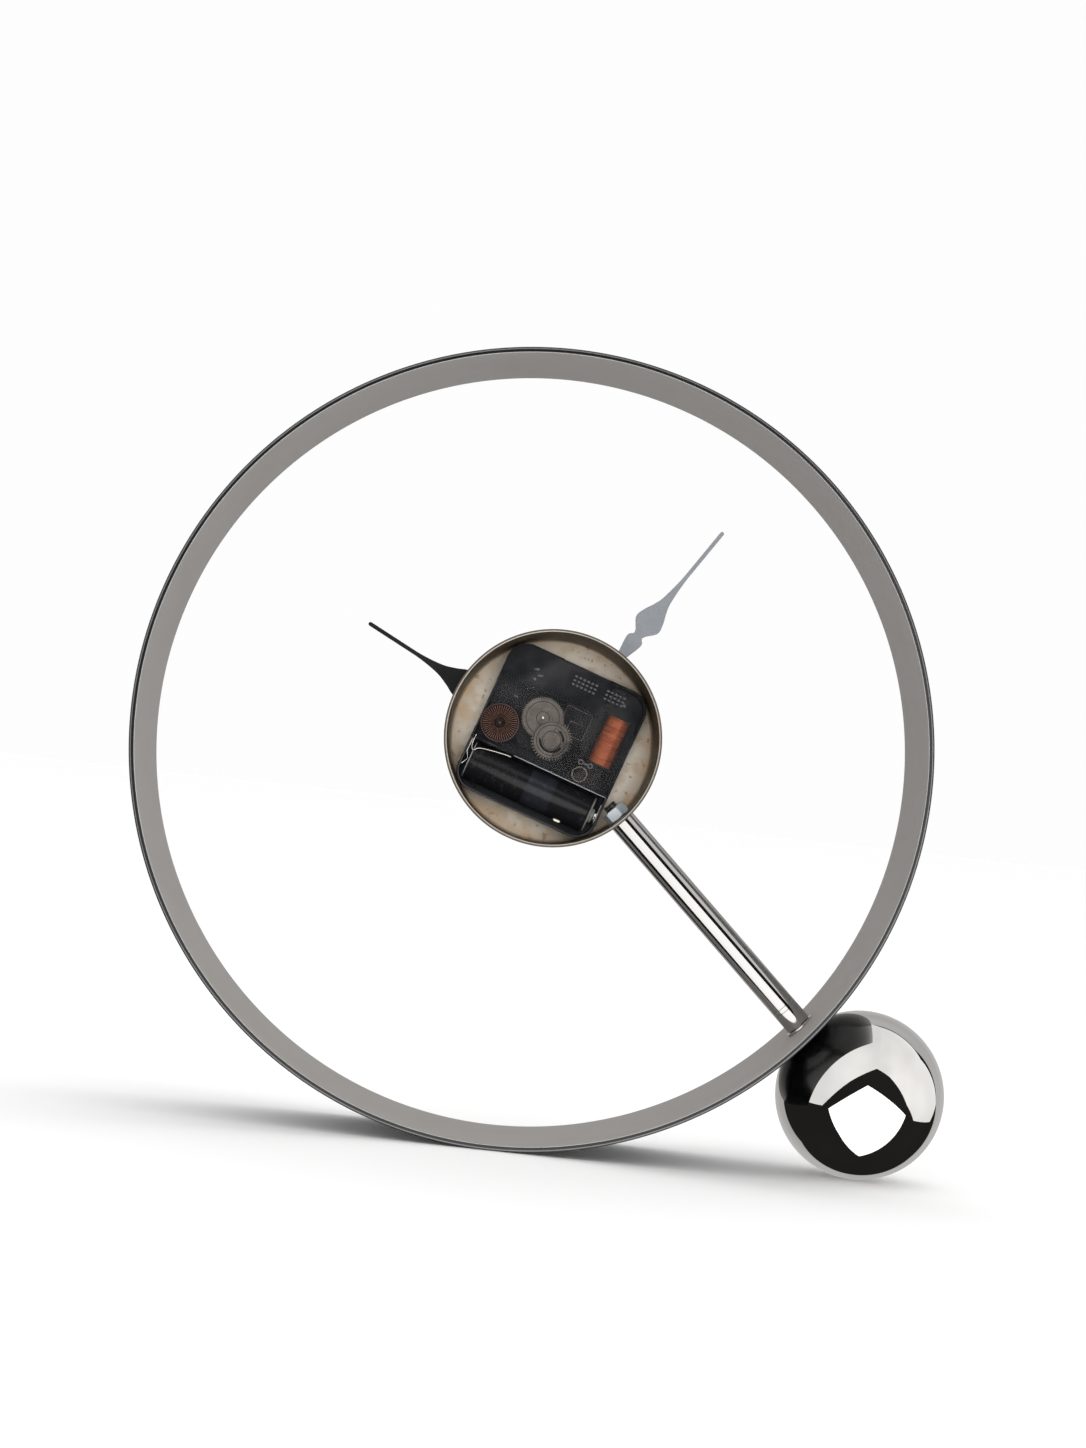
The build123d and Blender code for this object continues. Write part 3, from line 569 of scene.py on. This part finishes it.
# ---- frame of the clock -------------------------------------------------------------------------------
def make_hoop():
    place, width, outer = lie_of("ring_hoop", BACK, LEFT)
    inner = outer - HOOP_WALL
    lip = 0.55 * MM
    soft = 0.35 * MM
    outline = rounded([
        (inner, 0, soft), (outer, 0, lip), (outer, width, lip), (inner, width, soft),
    ], 6)
    mesh = bmesh.new()
    turned(mesh, outline, place, 512)
    finished("hoop_band", mesh, looks["hoop_metal"], ROOT, "ring_hoop")


def make_cup():
    place, depth, outer = lie_of("hub_cup", BACK, LEFT)
    inner = outer - CUP_WALL
    hole = 4.0 * MM
    outline = rounded([
        (hole, 0, 0), (outer, 0, 1.5 * MM), (outer, depth, 0.45 * MM), (inner, depth, 0.45 * MM),
        (inner, CUP_FLOOR, 1.1 * MM), (hole, CUP_FLOOR, 0),
    ], 6)
    mesh = bmesh.new()
    turned(mesh, outline, place, 256)
    finished("cup_shell", mesh, looks["cup_metal"], ROOT, "hub_cup")


def make_rod():
    """Polished bar, chamfered, with two fine turned lines at the hoop and its threaded tenon in the cup."""
    place, length, radius = lie_of("support_rod", rod_direction, BACK)
    start = (place.translation - hub).length
    bar_start = (cup_high.x - cup_low.x) / 2 - start - 0.6 * MM
    tenon = 2.5 * MM
    pitch = 0.7 * MM
    outline = [(0, 0), (tenon - 0.5 * MM, 0)]
    height = 0.3 * MM
    while height + pitch < bar_start:
        outline += [(tenon, height), (tenon - 0.3 * MM, height + pitch / 2)]
        height += pitch
    outline += [(tenon - 0.3 * MM, bar_start), (radius - 0.3 * MM, bar_start), (radius, bar_start + 0.3 * MM)]
    groove = 0.12 * MM
    for back in (9.0 * MM, 7.4 * MM):
        line = length - back
        outline += [(radius, line - groove), (radius - groove, line), (radius, line + groove)]
    outline += [(radius, length - 0.4 * MM), (radius - 0.4 * MM, length), (0, length)]
    mesh = bmesh.new()
    turned(mesh, outline, place, 128)
    finished("rod_bar", mesh, looks["rod_chrome"], ROOT, "support_rod", 25)


def make_rod_washer():
    place, length, radius = lie_of("rod_washer", rod_direction, BACK)
    edge = 0.2 * MM
    bore = 2.6 * MM
    outline = rounded([(bore, 0, 0), (radius, 0, edge), (radius, length, 0), (bore, length, 0)], 4)
    mesh = bmesh.new()
    turned(mesh, outline, place, 96)
    finished("rod_seat_washer", mesh, looks["rod_chrome"], ROOT, "rod_washer")


def make_ball():
    radius = (ball_high.z - ball_low.z) / 2
    place = placed(ball_middle, Vector((1, 0, 0)), BACK, UP)
    rows = 96
    outline = [(0, -radius)]
    for row in range(1, rows):
        angle = math.pi * row / rows
        outline.append((radius * math.sin(angle), -radius * math.cos(angle)))
    outline.append((0, radius))
    mesh = bmesh.new()
    turned(mesh, outline, place, 192)
    finished("chrome_ball", mesh, looks["ball_chrome"], ROOT, "ball")


def hex_nut(name, node, out, right, bore, material):
    """Hexagon nut with its corners chamfered at 30 degrees on both faces."""
    place, length, _ = lie_of(node, out, right)
    points = [vertex.co - place.translation for vertex in frame["nodes"][node].data.vertices]
    corner = max((point - out * point.dot(out)).length for point in points)
    flat = corner * math.cos(math.radians(30))
    seat = flat * 0.97
    steps = 96
    slope = math.tan(math.radians(30))

    def hexagon(angle):
        return flat / math.cos((angle - NUT_TURN + math.pi / 6) % (math.pi / 3) - math.pi / 6)

    mesh = bmesh.new()
    rings = []
    for kind in ("bore_low", "seat_low", "side_low", "side_high", "seat_high", "bore_high", "bore_lip"):
        ring = []
        for step in range(steps):
            angle = 2 * math.pi * step / steps
            drop = max(0.0, hexagon(angle) - seat) * slope
            radius, height = {
                "bore_low": (bore, 0),
                "seat_low": (seat, 0),
                "side_low": (hexagon(angle), drop),
                "side_high": (hexagon(angle), length - drop),
                "seat_high": (seat, length),
                "bore_high": (bore + 0.3 * MM, length),
                "bore_lip": (bore, length - 0.3 * MM),
            }[kind]
            point = Vector((radius * math.cos(angle), radius * math.sin(angle), height))
            ring.append(mesh.verts.new(place @ point))
        rings.append(ring)
    for near, far in zip(rings, rings[1:] + rings[:1]):
        for step in range(steps):
            after = (step + 1) % steps
            mesh.faces.new([near[step], near[after], far[after], far[step]])
    finished(name, mesh, material, ROOT, node, 20)


# ---- movement -----------------------------------------------------------------------------------------
def at(x, y):
    """Place on the movement, x right and y up in millimetres, at the front face of the case."""
    return movement @ Matrix.Translation(Vector((x * MM, y * MM, 0)))


COVER_TOP = case_back - case_front


def make_cover_relief():
    """Raised outline over the second wheel, ribbed blocks, oval marks and a triangle, all plain, coloured a little
    lighter than the cover as painted highlight.
    """
    mesh = bmesh.new()
    top = COVER_TOP + 0.25 * MM
    low = COVER_TOP - 0.1 * MM
    sides = [
        (0.0, 10.0, 13.8, 14.0), (0.0, 10.0, 4.0, 4.2), (0.0, 0.2, 4.0, 14.0), (9.8, 10.0, 4.0, 14.0),
        (3.2, 3.4, 4.0, 9.0), (3.2, 7.0, 9.0, 9.2),
    ]
    for left, right, bottom, high in sides:
        line = box_outline(left * MM, right * MM, bottom * MM, high * MM)
        raised(mesh, line, low, top, movement, 0.05 * MM)
    finished("cover_square_outline", mesh, rim_look, ROOT)
    mesh = bmesh.new()
    for middle, length in ((2.9, 10.0), (15.0, 9.0)):
        for row in range(3):
            y = 21.2 + 1.5 * row
            start = middle - length / 2
            for column in range(int(length / 1.6)):
                left = start + 1.6 * column
                outline = box_outline(left * MM, (left + 1.1) * MM, y * MM, (y + 0.8) * MM, 0.15 * MM)
                raised(mesh, outline, low, COVER_TOP + 0.15 * MM, movement, 0.06 * MM)
    tip = [(17.4, 21.6, 0.2), (19.6, 21.6, 0.2), (18.5, 23.6, 0.2)]
    outline = rounded([(x * MM, y * MM, r * MM) for x, y, r in tip], 3)
    raised(mesh, outline, low, COVER_TOP + 0.2 * MM, movement, 0.06 * MM)
    for x, y, tilt in ((-15.6, 21.0, 20), (-13.6, 19.4, 20), (-15.2, 17.6, -30)):
        place = at(x, y) @ Matrix.Rotation(math.radians(tilt), 4, "Z")
        outline = box_outline(-1.1 * MM, 1.1 * MM, -0.5 * MM, 0.5 * MM, 0.45 * MM)
        raised(mesh, outline, low, COVER_TOP + 0.15 * MM, place, 0.06 * MM)
    outline = box_outline(-19.4 * MM, -17.6 * MM, 8.6 * MM, 9.4 * MM, 0.35 * MM)
    raised(mesh, outline, low, COVER_TOP + 0.4 * MM, movement, 0.1 * MM)
    finished("cover_relief", mesh, dark_mark_look, ROOT)


def make_cover_rims():
    """Round rims over the pivots and the two-pin yoke, a little lighter than the cover as partly painted
    highlight, and a painted highlight strip along the cover's lower edge.
    """
    low = COVER_TOP - 0.1 * MM
    mesh = bmesh.new()
    for x, y, radius, width in ((0, 0, 2.0, 0.25), (14.2, -7.1, 2.4, 0.5)):
        high = COVER_TOP + 0.15 * MM
        outline = rounded([
            (radius * MM, low, 0), ((radius + width) * MM, low, 0),
            ((radius + width) * MM, high, 0.08 * MM), (radius * MM, high, 0.08 * MM),
        ], 3)
        turned(mesh, outline, at(x, y), 64)
    finished("cover_pivot_rims", mesh, rim_look, ROOT)
    mesh = bmesh.new()
    for x in (12.75, 16.5):
        high = COVER_TOP + 0.4 * MM
        outline = rounded([
            (0.45 * MM, low, 0), (1.1 * MM, low, 0),
            (1.1 * MM, high, 0.12 * MM), (0.45 * MM, high, 0.12 * MM),
        ], 3)
        turned(mesh, outline, at(x, -2.8), 32)
    bar = box_outline(13.6 * MM, 15.6 * MM, -3.3 * MM, -2.3 * MM)
    raised(mesh, bar, low, COVER_TOP + 0.3 * MM, movement, 0.08 * MM)
    finished("cover_yoke", mesh, dark_mark_look, ROOT)
    mesh = bmesh.new()
    outline = [(0, low), (0.4 * MM, low), (0.4 * MM, COVER_TOP + 0.1 * MM), (0, COVER_TOP + 0.25 * MM)]
    turned(mesh, outline, at(-6.3, 6.0), 32)
    finished("third_wheel_pivot_end", mesh, looks["contact_metal"], ROOT)
    mesh = bmesh.new()
    # Strip coloured pale as a painted highlight.
    line = box_outline(-10.0 * MM, 26.6 * MM, -11.0 * MM, -10.7 * MM)
    raised(mesh, line, low, COVER_TOP + 0.12 * MM, movement, 0.05 * MM)
    finished("cover_lower_edge_painted_highlight", mesh, lower_edge_highlight_look, ROOT)


def make_wheel_rings():
    """Moulded rings on the second wheel's face and on the third wheel's, which show through the cover."""
    for node, radii in (("second_wheel", (1.5, 3.2, 5.4, 6.5)), ("third_wheel", (2.2, 5.9))):
        spin = Vector(joints[node + "_spin"]["pos_m"])
        depth = {"second_wheel": 8.5, "third_wheel": 7.1}[node] * MM
        place = placed(Vector((spin.x, case_front + depth, spin.z)), movement_right, movement_up, BACK)
        mesh = bmesh.new()
        for radius in radii:
            ring = rounded([
                (radius * MM, -0.05 * MM, 0), ((radius + 0.3) * MM, -0.05 * MM, 0),
                ((radius + 0.3) * MM, 0.1 * MM, 0.04 * MM), (radius * MM, 0.1 * MM, 0.04 * MM),
            ], 2)
            turned(mesh, ring, place, 64)
        finished(node + "_rings", mesh, ring_look, node)


def make_contact_wire():
    """Bent wire of the negative contact that shows over the battery's left end."""
    corners = [(-25.6, -9.6), (-25.5, -13.4), (-24.3, -15.2), (-22.4, -13.6), (-16.5, -12.4), (-10.8, -11.8)]
    route = [movement @ Vector((p.x * MM, p.y * MM, COVER_TOP - 0.6 * MM)) for p in smooth_curve(corners, 6)]
    mesh = bmesh.new()
    tube(mesh, route, 0.28 * MM)
    finished("negative_contact_wire", mesh, looks["contact_metal"], ROOT)


def make_knob_face():
    """Fine ridges and a dimple on the setting wheel's face, with a painted highlight on the ridge tops."""
    spin = Vector(joints["set_wheel_spin"]["pos_m"])
    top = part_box("set_wheel")[1].y
    face = placed(Vector((spin.x, top, spin.z)), movement_right, movement_up, BACK)
    radius = 6.6 * MM
    ridges = 44
    steps = ridges * 4
    height = 0.22 * MM

    def lift_at(distance, angle):
        """Height over the face: dimple, low collar round it, then the ridges down to the rim."""
        if distance == radius:
            return 0
        if 1.1 * MM < distance < 1.65 * MM:
            return 0.12 * MM
        if distance < 1.7 * MM:
            return -0.05 * MM
        return height * (0.5 + 0.5 * math.cos(ridges * angle))

    mesh = bmesh.new()
    rings = []
    for distance in (0, 1.2 * MM, 1.6 * MM, 2.0 * MM, 3.2 * MM, 4.8 * MM, 6.2 * MM, radius):
        ring = []
        for step in range(1 if distance == 0 else steps):
            angle = 2 * math.pi * step / steps
            lift = lift_at(distance, angle)
            point = Vector((distance * math.cos(angle), distance * math.sin(angle), lift))
            ring.append(mesh.verts.new(face @ point))
        rings.append(ring)
    for near, far in zip(rings, rings[1:]):
        for step in range(steps):
            after = (step + 1) % steps
            corners = [near[step % len(near)], near[after % len(near)], far[after], far[step]]
            mesh.faces.new(list(dict.fromkeys(corners)))
    look = Look("knob_ridged_face", IOR=1.2)
    spot = look.local(face.translation, movement_right, movement_up, BACK)
    glint = look.noise(1.4 * MM, 3, vector=spot)
    # Painted highlight: the ridge tops are coloured pale, as glints.
    ridge = look.spread(look.split(spot)[2], 0.17 * MM, 0.215 * MM, 0.0, 0.9)
    base = look.mix(look.spread(glint, 0.3, 0.7), hue(15, 9, 8), hue(20, 12, 11))
    look.color(look.mix(ridge, base, hue(150, 116, 102)))
    look.rough(look.spread(glint, 0.2, 0.8, 0.2, 0.34))
    finished("knob_face", mesh, look.material, "set_wheel")


def make_coil():
    """Wire laid in turns round the bobbin, a little uneven from turn to turn."""
    place, length, radius = lie_of("coil_winding", movement_up, BACK)
    turns = 70
    corner = radius * 0.7
    outline = box_outline(-radius, radius, -radius, radius, corner)
    mesh = bmesh.new()
    rings = []
    for step in range(turns * 2 + 1):
        height = length * step / (turns * 2)
        swell = -0.05 * MM if step % 2 == 0 else 0.02 * MM * math.sin(step * 1.7)
        scale = (radius + swell - 0.03 * MM) / radius
        rings.append([mesh.verts.new(place @ Vector((x * scale, y * scale, height))) for x, y in outline])
    for near, far in zip(rings, rings[1:]):
        for index in range(len(outline)):
            after = (index + 1) % len(outline)
            mesh.faces.new([near[index], near[after], far[after], far[index]])
    mesh.faces.new(list(reversed(rings[0])))
    mesh.faces.new(rings[-1])
    finished("coil_turns", mesh, looks["copper_wire"], ROOT, "coil_winding", 60)


def make_battery():
    """Sleeved cell with its cap, a step round each end, and a pale oval mark on the sleeve."""
    place, length, radius = battery_lie
    nub = 2.75 * MM
    nub_length = 1.3 * MM
    body = length - nub_length
    outline = rounded([
        (0, 0.15 * MM, 0), (radius * 0.55, 0.15 * MM, 0), (radius * 0.6, 0, 0.1 * MM),
        (radius - 0.3 * MM, 0, 0.25 * MM), (radius, 0.8 * MM, 0.3 * MM),
        (radius, body - 1.2 * MM, 0.2 * MM), (radius - 0.35 * MM, body - 0.9 * MM, 0.1 * MM),
        (radius - 0.35 * MM, body, 0.3 * MM), (nub + 0.5 * MM, body, 0.2 * MM),
        (nub, body + 0.2 * MM, 0.15 * MM), (nub, length, 0.4 * MM), (0, length, 0),
    ], 3)
    mesh = bmesh.new()
    turned(mesh, outline, place, 96)
    finished("battery_sleeved_cell", mesh, looks["battery_label"], "battery", "battery_cell")
    mesh = bmesh.new()
    spot = at(13.8, -25.4)
    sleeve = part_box("battery_cell")[1].y - case_front
    outline = box_outline(-1.3 * MM, 1.3 * MM, -0.7 * MM, 0.7 * MM, 0.65 * MM)
    raised(mesh, outline, sleeve - 5.6 * MM, sleeve - 4.5 * MM, spot, 0.1 * MM)
    finished("battery_pale_mark", mesh, cream_look, "battery")


def make_panel_hardware():
    """Nut on the movement's bush, nut on the rod's tenon, and the domed cap over the hands."""
    hex_nut("bush_hex_nut", "mounting_nut", BACK, LEFT, 3.95 * MM, looks["brass"])
    hex_nut("tenon_hex_nut", "hub_nut", rod_direction, BACK, THREAD_BORE, looks["zinc_steel"])
    place, length, radius = lie_of("hand_cap", BACK, LEFT)
    outline = [(0, 0)]
    dome = 5
    for step in range(1, dome + 1):
        angle = math.pi / 2 * step / dome
        outline.append((radius * math.sin(angle), length * 0.45 * (1 - math.cos(angle))))
    outline += [(radius, length), (1.25 * MM, length), (1.25 * MM, length * 0.4), (0, length * 0.4)]
    mesh = bmesh.new()
    turned(mesh, outline, place, 64)
    finished("domed_cap", mesh, looks["brass"], "minute_hand_arbor", "hand_cap")


# (distance from the arbor, half width) in millimetres: end of the stem, shoulder, neck, leaf, needle.
HOUR_LEAF = [(18, 1.2), (28, 3.1), (30.8, 1.8), (35.5, 5.9), (40, 5.3), (44, 3.5), (49.7, 1.7), (60, 0.75)]
MINUTE_LEAF = [
    (38, 1.5), (48, 3.25), (50.8, 1.8), (55.5, 5.1), (59.5, 4.5), (63.5, 2.8), (68, 1.6), (79, 0.75),
]


def make_hand(name, node, leaf, body, bore, boss):
    """Flat leaf hand with its rims eased on both faces, and the boss round its seat."""
    low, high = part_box(node)
    points = [vertex.co for vertex in frame["nodes"][node].data.vertices]
    middle = Vector((hub.x, low.y, hub.z))
    far = max(points, key=lambda point: (point.x - hub.x) ** 2 + (point.z - hub.z) ** 2)
    out = Vector((far.x - hub.x, 0, far.z - hub.z))
    length = out.length
    out.normalize()
    place = placed(middle, out, BACK.cross(out), BACK)
    thickness = high.y - low.y
    needle = leaf[-1][1] * MM
    side = [(boss * 0.8, leaf[0][1] * MM)]
    side += [(point.x * MM, point.y * MM) for point in smooth_curve(leaf)]
    for step in range(7):
        angle = math.pi / 2 * step / 6
        side.append((length - needle + needle * math.sin(angle), needle * math.cos(angle)))
    outline = side + [(x, -y) for x, y in reversed(side[:-1])]
    mesh = bmesh.new()
    rims = prism(mesh, outline, 0, thickness, place)
    bmesh.ops.bevel(mesh, geom=rims[0] + rims[1], offset=0.09 * MM, segments=2, profile=0.5, affect="EDGES")
    soft = 0.08 * MM
    ring = rounded([(bore, 0, 0), (boss, 0, soft), (boss, thickness, soft), (bore, thickness, 0)], 3)
    turned(mesh, ring, place, 64)
    slot = slot_of[node]
    finished(name, mesh, looks[slot], body, node, 50)


# ---- everything ----------------------------------------------------------------------------------------
INNER_NODES = ("stator_plate", "coil_core", "coil_bobbin", "centre_gear", "hour_wheel", "minute_wheel")
own_looks = dict.fromkeys(INNER_NODES, inner_look)
own_looks.update(gear_bridge=clear_look, intermediate_wheel=clear_look)
for node, obj in frame["nodes"].items():
    obj.data.materials.clear()
    obj.data.materials.append(own_looks.get(node, looks[slot_of[node]]))

make_hoop()
make_cup()
make_rod()
make_rod_washer()
make_ball()
make_panel_hardware()
make_cover_relief()
make_cover_rims()
make_knob_face()
make_coil()
make_battery()
make_contact_wire()
make_wheel_rings()
make_hand("hour_hand_leaf", "hour_hand", HOUR_LEAF, "hour_hand_arbor", 3.3 * MM, 4.9 * MM)
make_hand("minute_hand_leaf", "minute_hand", MINUTE_LEAF, "minute_hand_arbor", 2.2 * MM, 3.8 * MM)

# Radius in millimetres of the edges of the nodes that keep their CAD shape.
rounding = {
    "movement_case": 0.25, "movement_cover": 0.2, "positive_contact": 0.08, "negative_contact": 0.06,
    "mounting_washer": 0.08, "rubber_washer": 0.15,
}
for node, edge in rounding.items():
    softened(node, looks[slot_of[node]], body_of[node], edge * MM)


# ---- studio ------------------------------------------------------------------------------------------------
WHITE = 0.985
KEY_LEVEL = 0.74
KEY_SPREAD = math.radians(90)
KEY_DIRECTION = Vector((0.3, 0.6, -0.9))
FILL_LEVEL = 20
FILL_SIZE = 0.7
FILL_STAND = Vector((-0.1, 1.1, 0.02))
LENS = 68.54
YAW = math.radians(-0.415)
PITCH = math.radians(1.571)
ROLL = math.radians(6.189)
CAMERA_SIDE = 0.0041
CAMERA_BACK = 0.957
CAMERA_DROP = 0.0175
FLOOR_REACH = 30
UNSEEN_BY = ("camera", "diffuse", "transmission", "shadow", "volume_scatter")


def emitter(name, color, strength):
    """Soft uneven glow."""
    material = bpy.data.materials.new(name)
    material.use_nodes = True
    nodes = material.node_tree.nodes
    nodes.clear()
    glow = nodes.new("ShaderNodeEmission")
    glow.inputs["Color"].default_value = (*color, 1)
    cloud = nodes.new("ShaderNodeTexNoise")
    cloud.inputs["Scale"].default_value = 1.6
    cloud.inputs["Detail"].default_value = 1.0
    level = nodes.new("ShaderNodeMapRange")
    level.inputs["From Min"].default_value = 0.3
    level.inputs["From Max"].default_value = 0.7
    level.inputs["To Min"].default_value = strength * 0.86
    level.inputs["To Max"].default_value = strength * 1.06
    links = material.node_tree.links
    links.new(cloud.outputs["Fac"], level.inputs["Value"])
    links.new(level.outputs["Result"], glow.inputs["Strength"])
    out = nodes.new("ShaderNodeOutputMaterial")
    links.new(glow.outputs[0], out.inputs["Surface"])
    return material


def staged(name, corners, faces, material):
    data = bpy.data.meshes.new(name)
    data.from_pydata(corners, [], faces)
    data.materials.append(material)
    obj = bpy.data.objects.new(name, data)
    bpy.context.scene.collection.objects.link(obj)
    return obj


def only_reflected(obj):
    """Leaves an object in reflections and nowhere else."""
    for kind in UNSEEN_BY:
        setattr(obj, "visible_" + kind, False)


def make_floor():
    look = Look("studio_floor", Roughness=0.9)
    grain = look.noise(0.4, 2)
    look.color(look.mix(grain, (0.935, 0.935, 0.935), (0.945, 0.945, 0.945)))
    corners = [(x * FLOOR_REACH, y * FLOOR_REACH, 0) for x, y in ((-1, -1), (1, -1), (1, 1), (-1, 1))]
    floor = staged("studio_floor", corners, [(0, 1, 2, 3)], look.material)
    floor.visible_glossy = False
    return floor


def make_world():
    world = bpy.data.worlds.new("studio_white")
    world.use_nodes = True
    background = world.node_tree.nodes["Background"]
    background.inputs["Color"].default_value = (WHITE, WHITE, WHITE, 1)
    background.inputs["Strength"].default_value = 1.0
    world.cycles_visibility.glossy = False
    bpy.context.scene.world = world


# Cards: what the ball reflects, on a sphere round it. Corners follow the bright fields seen in the ball.
CARD_REACH = 1.0
CARD_COLOR = (1.0, 0.98, 0.96)
to_camera = Vector((0.1338, 0.987, 0.0925)).normalized()
card_right = (LEFT - to_camera * LEFT.dot(to_camera)).normalized()
card_up = to_camera.cross(card_right)


def seen_at(bend, round_angle):
    """Point of the card sphere, bend degrees off the line to the camera and round it from the right."""
    theta = math.radians(bend)
    phi = math.radians(round_angle)
    side = card_right * math.cos(phi) + card_up * math.sin(phi)
    return ball_middle + (to_camera * math.cos(theta) + side * math.sin(theta)) * CARD_REACH


def card(name, corners, level, steps=10):
    """Glowing card between corners on the sphere, which only reflections see."""
    ring = []
    for index, corner in enumerate(corners):
        here = seen_at(*corner) - ball_middle
        after = seen_at(*corners[(index + 1) % len(corners)]) - ball_middle
        for step in range(steps):
            ring.append(ball_middle + here.slerp(after, step / steps))
    middle = ball_middle + (sum(ring, Vector()) / len(ring) - ball_middle).normalized() * CARD_REACH
    faces = [(index, (index + 1) % len(ring), len(ring)) for index in range(len(ring))]
    only_reflected(staged(name, ring + [middle], faces, emitter(name, CARD_COLOR, level)))


def cap(name, edge, level, steps=6):
    """Glowing cap behind the ball, from an edge of (bend, around) points to the far pole."""
    rows = [
        [(bend + (180 - bend) * step / steps, around) for bend, around in edge] for step in range(steps + 1)
    ]
    corners = [seen_at(*point) for row in rows for point in row]
    count = len(edge)
    faces = []
    for row in range(steps):
        for index in range(count):
            after = (index + 1) % count
            here, above = row * count, (row + 1) * count
            faces.append((here + index, here + after, above + after, above + index))
    only_reflected(staged(name, corners, faces, emitter(name, CARD_COLOR, level)))


def make_cards():
    card("card_low", [(17, 53), (71, -18), (90, -85), (62, -111), (46, -150)], 2.4)
    card("card_right", [
        (112, 78.5), (112, 36), (127, -1.3), (121, -15), (87, -19.5), (67.8, -6), (48, 36.8), (42.8, 61.3),
    ], 1.25)
    card("card_left", [
        (42.8, 61.3), (21.3, 126), (40.6, 193), (52.9, 202), (83, 191), (112, 180), (112, 130), (112, 78.5),
    ], 1.2)
    edge = [(138, -90), (137, -45), (127, 0), (114, 45), (112, 90), (118, 135), (124, 180), (122, 225)]
    cap("card_back", edge, 0.6)


def make_surround():
    """Dim room round the cards, which only reflections see."""
    data = bpy.data.meshes.new("dim_room")
    mesh = bmesh.new()
    bmesh.ops.create_icosphere(mesh, subdivisions=4, radius=2.5)
    mesh.to_mesh(data)
    mesh.free()
    data.materials.append(emitter("dim_room", (1.0, 0.95, 0.9), 0.02))
    room = bpy.data.objects.new("dim_room", data)
    bpy.context.scene.collection.objects.link(room)
    only_reflected(room)


def make_lights(floor):
    """Wide soft key from above, right and front, and a fill near the camera that skips the floor."""
    sun = bpy.data.lights.new("key", "SUN")
    sun.energy = KEY_LEVEL
    sun.angle = KEY_SPREAD
    key = bpy.data.objects.new("key", sun)
    key.rotation_mode = "QUATERNION"
    key.rotation_quaternion = KEY_DIRECTION.to_track_quat("-Z", "Y")
    fill_light = bpy.data.lights.new("fill", "AREA")
    fill_light.shape = "DISK"
    fill_light.size = FILL_SIZE
    fill_light.energy = FILL_LEVEL
    fill = bpy.data.objects.new("fill", fill_light)
    fill.location = hoop_middle + FILL_STAND
    fill.rotation_mode = "QUATERNION"
    fill.rotation_quaternion = (hub - fill.location).to_track_quat("-Z", "Y")
    unlit = bpy.data.collections.new("not_lit_by_fill")
    unlit.objects.link(floor)
    fill.light_linking.receiver_collection = unlit
    unlit.collection_objects[0].light_linking.link_state = "EXCLUDE"
    for lamp in (key, fill):
        lamp.visible_glossy = False
        bpy.context.scene.collection.objects.link(lamp)


def make_camera():
    """Behind the clock, a little below the hoop's middle, rolled as in the photograph."""
    data = bpy.data.cameras.new("camera")
    data.lens = LENS
    data.sensor_width = 36
    data.clip_start = 0.02
    camera = bpy.data.objects.new("camera", data)
    yaw = Matrix.Rotation(YAW, 3, "Y")
    pitch = Matrix.Rotation(PITCH, 3, "X")
    roll = Matrix.Rotation(ROLL, 3, "Z")
    facing_front = Matrix(((-1, 0, 0), (0, 0, 1), (0, 1, 0)))
    turn = facing_front @ yaw @ pitch @ roll
    stand = Vector((hoop_middle.x + CAMERA_SIDE, hoop_high.y + CAMERA_BACK, hoop_middle.z - CAMERA_DROP))
    camera.matrix_world = Matrix.Translation(stand) @ turn.to_4x4()
    bpy.context.scene.collection.objects.link(camera)
    bpy.context.scene.camera = camera


floor = make_floor()
make_world()
make_cards()
make_surround()
make_lights(floor)
make_camera()
bpy.context.scene.view_settings.view_transform = "Standard"
